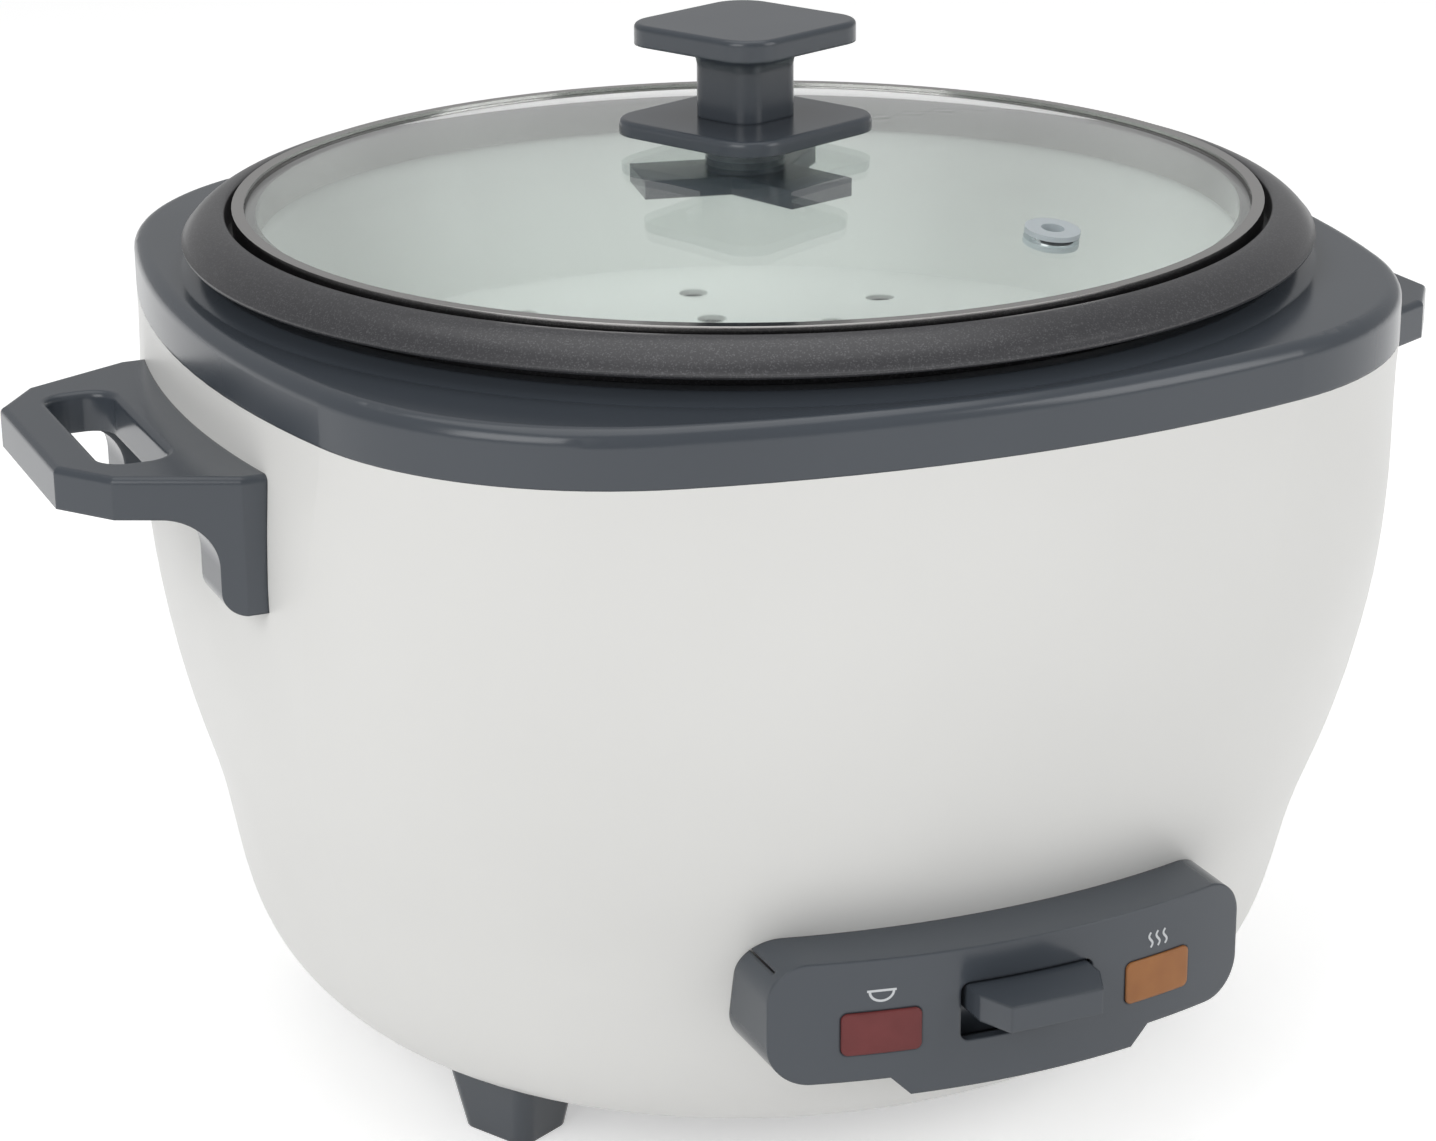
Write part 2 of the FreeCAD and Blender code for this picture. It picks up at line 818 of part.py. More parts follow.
top_collar = new_body("top_collar")
collar_edge = body_section(top_collar, "collar_edge", seam_z, seam_half)
pad(top_collar, "collar_ring", collar_edge, size.collar_height)
fillet(top_collar, "collar_rounding", at_height(collar_top), size.collar_round)
collar_lip_r = collar_open_r + size.collar_land
revolve(top_collar, "collar_lip", [
    (collar_open_r, collar_top - size.collar_wall / 2),
    (collar_open_r + size.collar_slope, collar_top - size.collar_wall / 2),
    (collar_open_r + size.collar_slope, collar_top),
    (collar_lip_r, collar_top + size.collar_rise),
    (collar_open_r, collar_top + size.collar_rise),
])
spigot = new_sketch(top_collar, "spigot_outside", "XY_Plane", seam_z - size.spigot_depth)
squircle(spigot, seam_half - size.body_wall - size.spigot_gap, size.seam_flat, size.seam_ease)
pad(top_collar, "spigot_block", spigot, size.spigot_depth + size.collar_wall)
hollow = new_sketch(top_collar, "collar_hollow", "XY_Plane", seam_z - size.spigot_depth)
squircle(hollow, seam_half - collar_inset, size.seam_flat, size.seam_ease)
hollow_height = size.spigot_depth + size.collar_height - size.collar_wall
pocket(top_collar, "hollow_cut", hollow, hollow_height, reverse=True)
inner_wall = new_sketch(top_collar, "inner_wall", "XY_Plane", seam_z + size.liner_hang)
add_circle(inner_wall, 0.0, 0.0, collar_open_r + size.collar_wall)
pad(top_collar, "inner_ring", inner_wall, size.collar_height - size.liner_hang)
mouth = new_sketch(top_collar, "collar_mouth", "XY_Plane", seam_z)
add_circle(mouth, 0.0, 0.0, collar_open_r)
pocket(top_collar, "mouth_cut", mouth, size.collar_height + size.collar_rise + size.collar_wall, reverse=True)
keep("top_collar", top_collar)


# Base plate on the body's floor, with its ring of vent slots

base_plate = new_body("base_plate")
disc = new_sketch(base_plate, "plate_disc", "XY_Plane", base_z)
add_circle(disc, 0.0, 0.0, base_plate_r)
for spot in foot_spots:
    add_circle(disc, spot[0], spot[1], size.screw_r)
pad(base_plate, "plate_pad", disc, size.base_plate_wall)
slot = new_sketch(base_plate, "vent_slot", "XY_Plane", base_z)
rounded_rectangle(slot, size.vent_ring_r, as_dim(0.0), size.vent_slot_long / 2, size.vent_slot_wide / 2,
                  size.vent_slot_wide / 2 - size.fit_gap)
slot_cut = pocket(base_plate, "vent_cut", slot, size.base_plate_wall, reverse=True)
ring_of(base_plate, "vent_slots", slot_cut, VENT_SLOTS)
keep("base_plate", base_plate)


# Feet: tapered blocks turned to the rim and shaped to the body's underside, each with a screw into the base

foot_names = ("foot_front_left", "foot_front_right", "foot_rear_left", "foot_rear_right")
for name, spot, turn in zip(foot_names, foot_spots, (180, 0, 180, 0)):
    foot = new_body(name + "_block")
    low = new_sketch(foot, name + "_sole", "XY_Plane")
    rounded_rectangle(low, as_dim(0.0), as_dim(0.0), size.foot_low_deep / 2, size.foot_low_wide / 2,
                      size.foot_corner_r)
    high = new_sketch(foot, name + "_crown", "XY_Plane", size.foot_height + size.roll_height)
    rounded_rectangle(high, as_dim(0.0), as_dim(0.0), size.foot_top_deep / 2, size.foot_top_wide / 2,
                      size.foot_corner_r)
    loft(foot, "PartDesign::AdditiveLoft", name + "_taper", [low, high])
    recess = new_sketch(foot, name + "_recess", "XY_Plane")
    add_circle(recess, 0.0, 0.0, size.screw_head_r + size.screw_play)
    pocket(foot, name + "_recess_cut", recess, size.foot_recess, reverse=True)
    hole = new_sketch(foot, name + "_hole", "XY_Plane")
    add_circle(hole, 0.0, 0.0, size.screw_r + size.screw_play)
    pocket(foot, name + "_hole_cut", hole, size.foot_height + size.roll_height, reverse=True)
    quadrant = 1 if spot[0].value * spot[1].value > 0 else -1
    foot.Placement = Placement(Vector(), Rotation(Vector(0, 0, 1), turn + quadrant * size.foot_angle.value))
    place_at(foot, spot[0], spot[1], 0.0)
    bind(foot, "Placement.Rotation.Angle", turn + size.foot_angle * quadrant)
    cut(name, foot, fitting_shape)
foot_screw_length = base_top - size.foot_recess
screws("foot_screws", [(spot[0], spot[1], size.foot_recess) for spot in foot_spots], Vector(0, 0, 1),
       foot_screw_length)


# Side handles: a bar out from the body with a finger gap, and two legs down the body's side

def side_handle(label, side):
    body = new_body(label + "_block")
    inside = belly_half - size.handle_leg_deep * 2
    outside = belly_half + size.handle_reach
    leg_x = belly_half + size.handle_leg_deep
    bar_low = handle_top - size.handle_wall
    sweep_top = leg_x + size.handle_sweep_r
    profile = new_sketch(body, label + "_side", "XZ_Plane")
    outline(profile, [
        (inside * side, handle_top),
        (outside * side, handle_top),
        (outside * side, bar_low),
        (sweep_top * side, bar_low, size.handle_sweep_r, side < 0),
        (leg_x * side, bar_low - size.handle_sweep_r),
        (leg_x * side, handle_low + size.handle_leg_deep, size.handle_leg_deep, side > 0),
        (belly_half * side, handle_low),
        (inside * side, handle_low),
    ])
    pad(body, label + "_pad", profile, size.handle_root_half * 2, middle=True)
    trim = new_sketch(body, label + "_trim", "XY_Plane", handle_top)
    bend = outside - size.handle_bend_in
    beyond = outside + size.handle_root
    for end in (-1, 1):
        outline(trim, [
            (outside * side, size.handle_outer_half * end),
            (bend * side, size.handle_bend_half * end),
            (belly_half * side, size.handle_root_half * end),
            (belly_half * side, (size.handle_root_half + size.handle_root) * end),
            (beyond * side, (size.handle_root_half + size.handle_root) * end),
            (beyond * side, size.handle_outer_half * end),
        ])
    pocket(body, label + "_trim_cut", trim, size.handle_leg)
    gap = new_sketch(body, label + "_gap", "XY_Plane", handle_top)
    gap_in = belly_half + size.handle_root
    gap_out = outside - size.handle_bar
    rounded_rectangle(gap, (gap_in + gap_out) / 2 * side, as_dim(0.0), (gap_out - gap_in) / 2,
                      size.handle_gap_half, size.handle_gap_r)
    pocket(body, label + "_gap_cut", gap, size.handle_leg)
    fillet(body, label + "_edge", at_height(handle_top), size.handle_edge)
    between = new_sketch(body, label + "_between", "XZ_Plane")
    rectangle(between, inside * side, (sweep_top + size.handle_sweep_r) * side, handle_low - size.handle_wall,
              bar_low)
    pocket(body, label + "_between_cut", between, size.handle_leg_gap_half * 2, middle=True)
    holes = new_sketch(body, label + "_holes", "YZ_Plane", inside * side)
    for end in (-1, 1):
        add_circle(holes, handle_screw_y * end, handle_screw_z, size.screw_r)
    hole_depth = size.handle_leg_deep * 3 - size.screw_r
    pocket(body, label + "_hole_cut", holes, hole_depth, reverse=side > 0)
    cut(label, body, fitting_shape)


side_handle("left_handle", -1)
side_handle("right_handle", 1)
handle_seat = belly_half - size.handle_leg_deep * 2
handle_screw_length = size.handle_leg_deep * 3 - size.screw_r
handle_screws = []
for side in (-1, 1):
    for end in (-1, 1):
        seat = (handle_seat * side, handle_screw_y * end, handle_screw_z)
        screw_label = f"handle_screw_{len(handle_screws) + 1}"
        handle_screws.append(screw(screw_label, seat, Vector(side, 0, 0), handle_screw_length))
group("handle_screws", handle_screws)


# Heating well: liner hung from the collar, heating plate on spacers, element ring and keep-warm band

liner_top = seam_z + size.liner_hang

spacer_spots = []
for angle in (90, 210, 330):
    spacer_x = spacer_ring_r * math.cos(math.radians(angle))
    spacer_y = spacer_ring_r * math.sin(math.radians(angle))
    spacer_spots.append((spacer_x, spacer_y))

liner_inner_corner = size.liner_corner_r - size.liner_wall
inner_liner = new_body("inner_liner")
revolve(inner_liner, "liner_cup", [
    (liner_opening_r, liner_z),
    (liner_outer_r - size.liner_corner_r, liner_z, size.liner_corner_r),
    (liner_outer_r, liner_z + size.liner_corner_r),
    (liner_outer_r, liner_top - size.liner_wall),
    (liner_outer_r + size.liner_flange, liner_top - size.liner_wall),
    (liner_outer_r + size.liner_flange, liner_top),
    (liner_r, liner_top),
    (liner_r, liner_z + size.liner_corner_r, liner_inner_corner, True),
    (liner_r - liner_inner_corner, liner_z + size.liner_wall),
    (liner_opening_r, liner_z + size.liner_wall),
])
liner_holes = new_sketch(inner_liner, "liner_holes", "XY_Plane", liner_z)
for spot in spacer_spots:
    add_circle(liner_holes, spot[0], spot[1], size.screw_r)
pocket(inner_liner, "liner_hole_cut", liner_holes, size.liner_wall, reverse=True)
keep("inner_liner", inner_liner)

groove_r = size.element_r + size.fit_gap
groove_half = root(groove_r * groove_r - size.element_sink * size.element_sink)
screw_bite = size.plate_thick / 2
heating_plate = new_body("heating_plate")
revolve(heating_plate, "plate_casting", [
    ((size.sensor_r + size.plate_bore_gap), plate_z),
    (element_ring_r - groove_half, plate_z, groove_r, True),
    (element_ring_r + groove_half, plate_z),
    (size.plate_r, plate_z),
    (size.plate_r, plate_top),
    ((size.sensor_r + size.plate_bore_gap), plate_top),
])
plate_holes = new_sketch(heating_plate, "plate_holes", "XY_Plane", plate_z)
for spot in spacer_spots:
    add_circle(plate_holes, spot[0], spot[1], size.screw_r)
pocket(heating_plate, "plate_hole_cut", plate_holes, screw_bite, reverse=True)
keep("heating_plate", heating_plate)

spacers = []
for number, spot in enumerate(spacer_spots, start=1):
    sleeve = new_body(f"plate_spacer_{number}")
    ring = new_sketch(sleeve, f"plate_spacer_ring_{number}", "XY_Plane", liner_z + size.liner_wall)
    add_circle(ring, spot[0], spot[1], size.spacer_r)
    add_circle(ring, spot[0], spot[1], size.screw_r)
    pad(sleeve, f"plate_spacer_pad_{number}", ring, size.spacer_height)
    spacers.append(sleeve)
group("plate_spacers", spacers)
screws("plate_screws", [(spot[0], spot[1], liner_z) for spot in spacer_spots], Vector(0, 0, 1),
       size.liner_wall + size.spacer_height + screw_bite)

element_z = plate_z - size.element_sink
element_start = 90 + (360 - size.element_sweep) / 2
element_ring = doc.addObject("Part::Torus", "element_ring")
bind(element_ring, "Radius1", element_ring_r)
bind(element_ring, "Radius2", size.element_r)
bind(element_ring, "Angle3", size.element_sweep)
element_ring.Placement = Placement(Vector(), Rotation(Vector(0, 0, 1), element_start.value))
bind(element_ring, "Placement.Rotation.Angle", element_start)
place_at(element_ring, 0.0, 0.0, element_z)
heating_element = element_ring
terminal_spots = []
for number, angle in enumerate((element_start, element_start + size.element_sweep), start=1):
    spot = (element_ring_r * cosine(angle), element_ring_r * sine(angle))
    terminal_spots.append(spot)
    pin = cylinder(f"terminal_{number}", size.terminal_r, size.terminal_length,
                   (spot[0], spot[1], element_z - size.terminal_length), Vector(0, 0, 1))
    heating_element = fuse(f"element_with_terminal_{number}", heating_element, pin)
keep("heating_element", heating_element)

warm_low = seam_z - size.warm_band_drop - size.warm_band_height
keep_warm_heater = new_body("keep_warm_heater")
revolve(keep_warm_heater, "warm_band", [
    (liner_outer_r + size.fit_gap, warm_low),
    (liner_outer_r + size.fit_gap + size.warm_band_thick, warm_low),
    (liner_outer_r + size.fit_gap + size.warm_band_thick, warm_low + size.warm_band_height),
    (liner_outer_r + size.fit_gap, warm_low + size.warm_band_height),
])
keep("keep_warm_heater", keep_warm_heater)

fuse_z = liner_z - size.fuse_r
fuse_y = liner_opening_r + size.fuse_edge
fuse_start = (-size.fuse_length / 2, fuse_y, fuse_z)
keep("thermal_fuse", cylinder("thermal_fuse", size.fuse_r, size.fuse_length, fuse_start, Vector(1, 0, 0)))


# Sprung heat sensor in the plate's bore, and the magnet that the lever lifts towards it

cap_top = pot_z - size.slide_gap
cap_inner_r = size.sensor_r - size.sensor_wall
ferrite_z = cap_top - size.sensor_wall - size.ferrite_thick
cap_flange_r = size.sensor_r + size.sensor_flange
housing_r = cap_flange_r + size.housing_gap
housing_outer_r = housing_r + size.housing_wall
carrier_z = housing_z + size.housing_wall + size.carrier_lift
magnet_z = carrier_z + size.carrier_thick

sensor_cap = new_body("sensor_cap")
revolve(sensor_cap, "cap_cup", [
    (0.0, cap_top - size.sensor_wall),
    (cap_inner_r, cap_top - size.sensor_wall),
    (cap_inner_r, cap_low),
    (cap_flange_r, cap_low),
    (cap_flange_r, cap_low + size.sensor_wall),
    (size.sensor_r, cap_low + size.sensor_wall),
    (size.sensor_r, cap_top),
    (0.0, cap_top),
])
keep("sensor_cap", sensor_cap)

ferrite_r = cap_inner_r - size.housing_gap
keep("sensor_ferrite", cylinder("sensor_ferrite", ferrite_r, size.ferrite_thick, (0.0, 0.0, ferrite_z),
                                Vector(0, 0, 1)))

sensor_housing = new_body("sensor_housing")
revolve(sensor_housing, "housing_cup", [
    (size.housing_bore_r, housing_z),
    (housing_outer_r, housing_z),
    (housing_outer_r, plate_z - size.housing_wall),
    (housing_outer_r + size.housing_flange, plate_z - size.housing_wall),
    (housing_outer_r + size.housing_flange, plate_z),
    (housing_r, plate_z),
    (housing_r, housing_z + size.housing_wall),
    (size.housing_bore_r, housing_z + size.housing_wall),
])
keep("sensor_housing", sensor_housing)

sensor_coil_r = size.sensor_r.value - size.sensor_wire_r.value
spring("sensor_spring", sensor_coil_r, size.sensor_wire_r.value, housing_z.value + size.housing_wall.value,
       cap_low.value, SENSOR_TURNS)
release_coil_r = (size.magnet_r.value + size.carrier_r.value) / 2
spring("release_spring", release_coil_r, size.release_wire_r.value, magnet_z.value, ferrite_z.value,
       RELEASE_TURNS)

keep("switch_magnet", cylinder("switch_magnet", size.magnet_r, size.magnet_thick, (0.0, 0.0, magnet_z),
                               Vector(0, 0, 1)))
arm_top = arm_z + size.arm_thick
magnet_rod = new_body("magnet_rod")
revolve(magnet_rod, "rod_turning", [
    (0.0, arm_z - size.fork_play - size.rod_collar),
    (size.rod_collar_r, arm_z - size.fork_play - size.rod_collar),
    (size.rod_collar_r, arm_z - size.fork_play),
    (size.rod_r, arm_z - size.fork_play),
    (size.rod_r, arm_top + size.fork_play),
    (size.rod_collar_r, arm_top + size.fork_play),
    (size.rod_collar_r, arm_top + size.fork_play + size.rod_collar),
    (size.rod_r, arm_top + size.fork_play + size.rod_collar),
    (size.rod_r, carrier_z),
    (size.carrier_r, carrier_z),
    (size.carrier_r, magnet_z),
    (0.0, magnet_z),
])
keep("magnet_rod", magnet_rod)


# Lever: sheet arm on a pivot pin, forked round the rod at its tail and stepped up to the paddle at its front

arm_step_y = pivot_y - size.arm_step_at
arm_front_y = arm_step_y - size.arm_step_long
lever_arm = new_body("lever_arm")
strip = new_sketch(lever_arm, "arm_side", "YZ_Plane")
outline(strip, [
    (size.arm_tail, arm_z),
    (size.arm_tail, arm_top),
    (arm_step_y, arm_top),
    (arm_front_y, arm_front_z + size.arm_thick),
    (arm_tip_y, arm_front_z + size.arm_thick),
    (arm_tip_y, arm_front_z),
    (arm_front_y, arm_front_z),
    (arm_step_y, arm_z),
])
pad(lever_arm, "arm_strip", strip, size.arm_half * 2, middle=True)
eye = new_sketch(lever_arm, "arm_eye", "YZ_Plane")
add_circle(eye, pivot_y, pivot_z, size.arm_eye_r)
pad(lever_arm, "arm_eye_pad", eye, size.arm_half * 2, middle=True)
eye_bore = new_sketch(lever_arm, "arm_eye_bore", "YZ_Plane")
add_circle(eye_bore, pivot_y, pivot_z, size.pin_r + size.pin_play)
pocket(lever_arm, "arm_eye_cut", eye_bore, size.arm_half * 4, middle=True)
fork = new_sketch(lever_arm, "arm_fork", "XY_Plane", arm_z)
rectangle(fork, -size.fork_half, size.fork_half, -size.arm_tail, size.arm_tail)
pocket(lever_arm, "arm_fork_cut", fork, size.arm_thick, reverse=True)
keep("lever_arm", lever_arm)

paddle_back_y = panel_face_y + size.paddle_root * 2
paddle_low = arm_front_z - size.paddle_seat
paddle_web_y = paddle_back_y - size.paddle_root
lever_paddle = new_body("lever_paddle")
paddle_side = new_sketch(lever_paddle, "paddle_side", "YZ_Plane")
outline(paddle_side, [
    (paddle_back_y, paddle_low),
    (paddle_back_y, arm_front_z + size.arm_thick + size.paddle_seat),
    (paddle_back_y - size.paddle_root / 2, paddle_top),
    (paddle_tip_y, paddle_top),
    (paddle_tip_y, paddle_z),
    (paddle_web_y, paddle_z),
    (paddle_web_y, paddle_low),
])
pad(lever_paddle, "paddle_block", paddle_side, size.paddle_half * 2, middle=True)
tip_trim = new_sketch(lever_paddle, "paddle_tip", "XY_Plane", paddle_top)
for end in (-1, 1):
    outline(tip_trim, [
        (size.paddle_half * end, paddle_tip_y + size.paddle_taper),
        (size.paddle_tip_half * end, paddle_tip_y),
        (size.paddle_half * end, paddle_tip_y),
    ])
pocket(lever_paddle, "paddle_tip_cut", tip_trim, size.paddle_thick)
arm_seat = new_sketch(lever_paddle, "paddle_arm_seat", "XZ_Plane", -paddle_back_y)
rectangle(arm_seat, -size.arm_half, size.arm_half, arm_front_z, arm_front_z + size.arm_thick)
pocket(lever_paddle, "paddle_seat_cut", arm_seat, paddle_back_y - arm_tip_y, reverse=True)
keep("lever_paddle", lever_paddle)

ear_inside = size.arm_half + size.bracket_ear_gap
ear_outside = ear_inside + size.bracket_wall
ear_top = pivot_z + size.bracket_ear_top
lever_bracket = new_body("lever_bracket")
channel = new_sketch(lever_bracket, "bracket_channel", "XZ_Plane", -pivot_y)
outline(channel, [
    (-ear_outside, base_top),
    (ear_outside, base_top),
    (ear_outside, ear_top),
    (ear_inside, ear_top),
    (ear_inside, base_top + size.bracket_wall),
    (-ear_inside, base_top + size.bracket_wall),
    (-ear_inside, ear_top),
    (-ear_outside, ear_top),
])
pad(lever_bracket, "bracket_pad", channel, size.bracket_half_long * 2, middle=True)
pin_holes = new_sketch(lever_bracket, "bracket_holes", "YZ_Plane")
add_circle(pin_holes, pivot_y, pivot_z, size.pin_r)
pocket(lever_bracket, "bracket_hole_cut", pin_holes, ear_outside * 4, middle=True)
keep("lever_bracket", lever_bracket)

pin_half = ear_outside + size.bracket_wall
keep("lever_pivot_pin", cylinder("lever_pivot_pin", size.pin_r, pin_half * 2, (-pin_half, pivot_y, pivot_z),
                                 Vector(1, 0, 0)))

switch_y = pivot_y - size.switch_ahead
button_top = arm_z - size.slide_gap
switch_top = button_top - size.button_stand
switch_z = switch_top - size.switch_height
switch_travel = size.switch_ahead * sine(size.lever_travel)
bore_depth = size.button_depth + switch_travel + size.slide_gap
button_z = switch_top - size.button_depth
microswitch = new_body("microswitch")
case = new_sketch(microswitch, "switch_case", "XY_Plane", switch_z)
rectangle(case, -size.switch_half_wide, size.switch_half_wide, switch_y - size.switch_half_long,
          switch_y + size.switch_half_long)
pad(microswitch, "switch_pad", case, size.switch_height)
button_bore = new_sketch(microswitch, "switch_bore", "XY_Plane", switch_top)
add_circle(button_bore, 0.0, switch_y, size.button_r + size.slide_gap)
pocket(microswitch, "switch_bore_cut", button_bore, bore_depth)
keep("microswitch", microswitch)
keep("microswitch_button", cylinder("microswitch_button", size.button_r, button_top - button_z,
                                    (0.0, switch_y, button_z), Vector(0, 0, 1)))

stand_half = size.switch_half_wide + size.bracket_wall * 2
switch_bracket = new_body("switch_bracket")
stand = new_sketch(switch_bracket, "stand_bridge", "XZ_Plane", -switch_y)
outline(stand, [
    (-stand_half, base_top),
    (-stand_half + size.bracket_wall, base_top),
    (-stand_half + size.bracket_wall, switch_z - size.bracket_wall),
    (stand_half - size.bracket_wall, switch_z - size.bracket_wall),
    (stand_half - size.bracket_wall, base_top),
    (stand_half, base_top),
    (stand_half, switch_z),
    (-stand_half, switch_z),
])
pad(switch_bracket, "stand_pad", stand, size.switch_half_long * 2, middle=True)
keep("switch_bracket", switch_bracket)


# Switch panel: hollow pod with a bowed face, fitted to the body, with its lever slot and two lamp windows

face_centre_y = panel_face_y + size.panel_face_r


def trim_face(body, name, face_r):
    """Cuts the front of a body back to the bowed face of that radius."""
    sketch = new_sketch(body, name, "XY_Plane", panel_top + size.panel_wall)
    reach = size.panel_half + size.panel_wall
    edge_y = face_centre_y - root(face_r * face_r - reach * reach)
    front_y = panel_face_y - size.paddle_reach
    outline(sketch, [(-reach, front_y), (reach, front_y), (reach, edge_y, face_r, True), (-reach, edge_y)])
    pocket(body, name + "_cut", sketch, panel_top - panel_z + size.tongue_drop + size.panel_wall * 2)


panel_pod = new_body("panel_pod")
front = new_sketch(panel_pod, "panel_front", "XZ_Plane", base_plate_r)
tongue_z = panel_z - size.tongue_drop
shoulder = size.tongue_half + size.tongue_step
corner = size.panel_corner_r
outline(front, [
    (-size.tongue_half, tongue_z), (size.tongue_half, tongue_z),
    (shoulder, panel_z), (size.panel_half - corner, panel_z, corner),
    (size.panel_half, panel_z + corner), (size.panel_half, panel_top - corner, corner),
    (size.panel_half - corner, panel_top), (-(size.panel_half - corner), panel_top, corner),
    (-size.panel_half, panel_top - corner), (-size.panel_half, panel_z + corner, corner),
    (-(size.panel_half - corner), panel_z), (-shoulder, panel_z),
])
pad(panel_pod, "panel_block", front, -panel_face_y - base_plate_r + size.panel_wall)
trim_face(panel_pod, "panel_face", size.panel_face_r)
inner_face_r = size.panel_face_r - size.panel_wall
room_half = size.panel_half - size.panel_wall
room_edge_y = face_centre_y - root(inner_face_r * inner_face_r - room_half * room_half)
room = new_sketch(panel_pod, "panel_room", "XY_Plane", panel_top - size.panel_wall)
outline(room, [
    (-room_half, room_edge_y, inner_face_r), (room_half, room_edge_y),
    (room_half, -base_plate_r), (-room_half, -base_plate_r),
])
pocket(panel_pod, "panel_room_cut", room, panel_top - panel_z - size.panel_wall * 2)
tongue_room_half = size.tongue_half - size.panel_wall
tongue_face_y = face_centre_y - root(inner_face_r * inner_face_r - tongue_room_half * tongue_room_half)
tongue_room = new_sketch(panel_pod, "tongue_room", "XY_Plane", panel_z + size.panel_wall)
rectangle(tongue_room, -tongue_room_half, tongue_room_half, tongue_face_y, -base_plate_r)
pocket(panel_pod, "tongue_room_cut", tongue_room, size.tongue_drop)
openings = new_sketch(panel_pod, "panel_openings", "XZ_Plane", base_plate_r)
slot_half = size.paddle_half + size.slot_side_gap
rounded_rectangle(openings, as_dim(0.0), (slot_z + slot_top) / 2, slot_half, (slot_top - slot_z) / 2,
                  size.slot_corner_r)
for side in (-1, 1):
    rounded_rectangle(openings, size.lens_at * side, lamp_z, size.lens_half_wide + size.fit_gap,
                      size.lens_half_high + size.fit_gap, size.lens_corner_r)
opening_depth = -panel_face_y - base_plate_r + size.panel_wall
pocket(panel_pod, "panel_openings_cut", openings, opening_depth, reverse=True)
bosses = new_sketch(panel_pod, "panel_bosses", "XZ_Plane", base_plate_r)
for side in (-1, 1):
    add_circle(bosses, size.panel_screw_at * side, lamp_z, size.boss_r)
boss_reach = root(inner_face_r * inner_face_r - size.panel_screw_at * size.panel_screw_at)
boss_end = boss_reach - face_centre_y
pad(panel_pod, "panel_boss_pad", bosses, boss_end - base_plate_r)
boss_holes = new_sketch(panel_pod, "panel_boss_holes", "XZ_Plane", base_plate_r)
for side in (-1, 1):
    add_circle(boss_holes, size.panel_screw_at * side, lamp_z, size.screw_r)
screw_tip_y = boss_end - size.panel_wall
pocket(panel_pod, "panel_boss_cut", boss_holes, screw_tip_y - base_plate_r, reverse=True)
cut("control_panel", panel_pod, fitting_shape)

panel_seat = low_half - size.screw_head_r * 3
screws("panel_screws", [(size.panel_screw_at * side, -panel_seat, lamp_z) for side in (-1, 1)],
       Vector(0, -1, 0), screw_tip_y - panel_seat)

for label, side in (("cook", -1), ("warm", 1)):
    lens = new_body(label + "_lens")
    window = new_sketch(lens, label + "_window", "XZ_Plane", -panel_face_y - size.lens_depth)
    rounded_rectangle(window, size.lens_at * side, lamp_z, size.lens_half_wide, size.lens_half_high,
                      size.lens_corner_r)
    pad(lens, label + "_lens_pad", window, size.lens_depth)
    trim_face(lens, label + "_lens_face", size.panel_face_r + size.lens_proud)
    lens_bore = new_sketch(lens, label + "_lens_bore", "XZ_Plane", -panel_face_y - size.lens_depth)
    add_circle(lens_bore, size.lens_at * side, lamp_z, size.lamp_r + size.fit_gap)
    lens_back = (size.lens_at + size.lens_half_wide) * (size.lens_at + size.lens_half_wide)
    lens_edge_y = root(size.panel_face_r * size.panel_face_r - lens_back) - face_centre_y
    bore_end = lens_edge_y - size.lens_front
    lens_start = -panel_face_y - size.lens_depth
    pocket(lens, label + "_lens_bore_cut", lens_bore, bore_end - lens_start, reverse=True)
    keep(label + "_lens", lens)
    lamp_start = (size.lens_at * side, -bore_end + size.lamp_length, lamp_z)
    lamp_name = label + "_lamp"
    keep(lamp_name, cylinder(lamp_name, size.lamp_r, size.lamp_length, lamp_start, Vector(0, -1, 0)))


# Power inlet at the rear: a socket through the body wall, with a rim fitted to the body

inlet_face_y = low_half + size.inlet_proud
inlet_back_y = inlet_face_y - size.inlet_inside - size.inlet_proud
inlet_rim_body = new_body("inlet_rim")
rim = new_sketch(inlet_rim_body, "inlet_rim_front", "XZ_Plane", -inlet_face_y)
rounded_rectangle(rim, as_dim(0.0), inlet_z, size.inlet_half_wide + size.inlet_rim,
                  size.inlet_half_high + size.inlet_rim, size.inlet_corner_r)
pad(inlet_rim_body, "inlet_rim_pad", rim, size.inlet_inside)
inlet_rim = doc.addObject("Part::Cut", "inlet_rim_fitted")
inlet_rim.Base = inlet_rim_body
inlet_rim.Tool = fitting_shape
inlet_box = new_body("inlet_box")
box_front = new_sketch(inlet_box, "inlet_box_front", "XZ_Plane", -inlet_face_y)
rounded_rectangle(box_front, as_dim(0.0), inlet_z, size.inlet_half_wide, size.inlet_half_high,
                  size.inlet_corner_r)
pad(inlet_box, "inlet_box_pad", box_front, inlet_face_y - inlet_back_y)
inlet_whole = fuse("inlet_whole", inlet_rim, inlet_box)
socket_body = new_body("inlet_socket")
socket_front = new_sketch(socket_body, "socket_front", "XZ_Plane", -inlet_face_y)
rounded_rectangle(socket_front, as_dim(0.0), inlet_z, size.inlet_half_wide - size.inlet_wall,
                  size.inlet_half_high - size.inlet_wall, size.inlet_corner_r)
pad(socket_body, "socket_pad", socket_front, size.inlet_depth)
inlet_hollow = doc.addObject("Part::Cut", "inlet_hollow")
inlet_hollow.Base = inlet_whole
inlet_hollow.Tool = socket_body
pin_z = inlet_z + size.inlet_pin_rise
pins = []
pin_length = inlet_face_y - size.inlet_pin_short - inlet_back_y
for number in (-1, 0, 1):
    start = (size.inlet_pin_step * number - size.inlet_pin_wide / 2, inlet_back_y,
             pin_z - size.inlet_pin_high / 2)
    pins.append(block(f"inlet_pin_{number + 2}", size.inlet_pin_wide, pin_length, size.inlet_pin_high, start))
inlet_pins = group("inlet_pins", pins)
cut("power_inlet", inlet_hollow, inlet_pins)


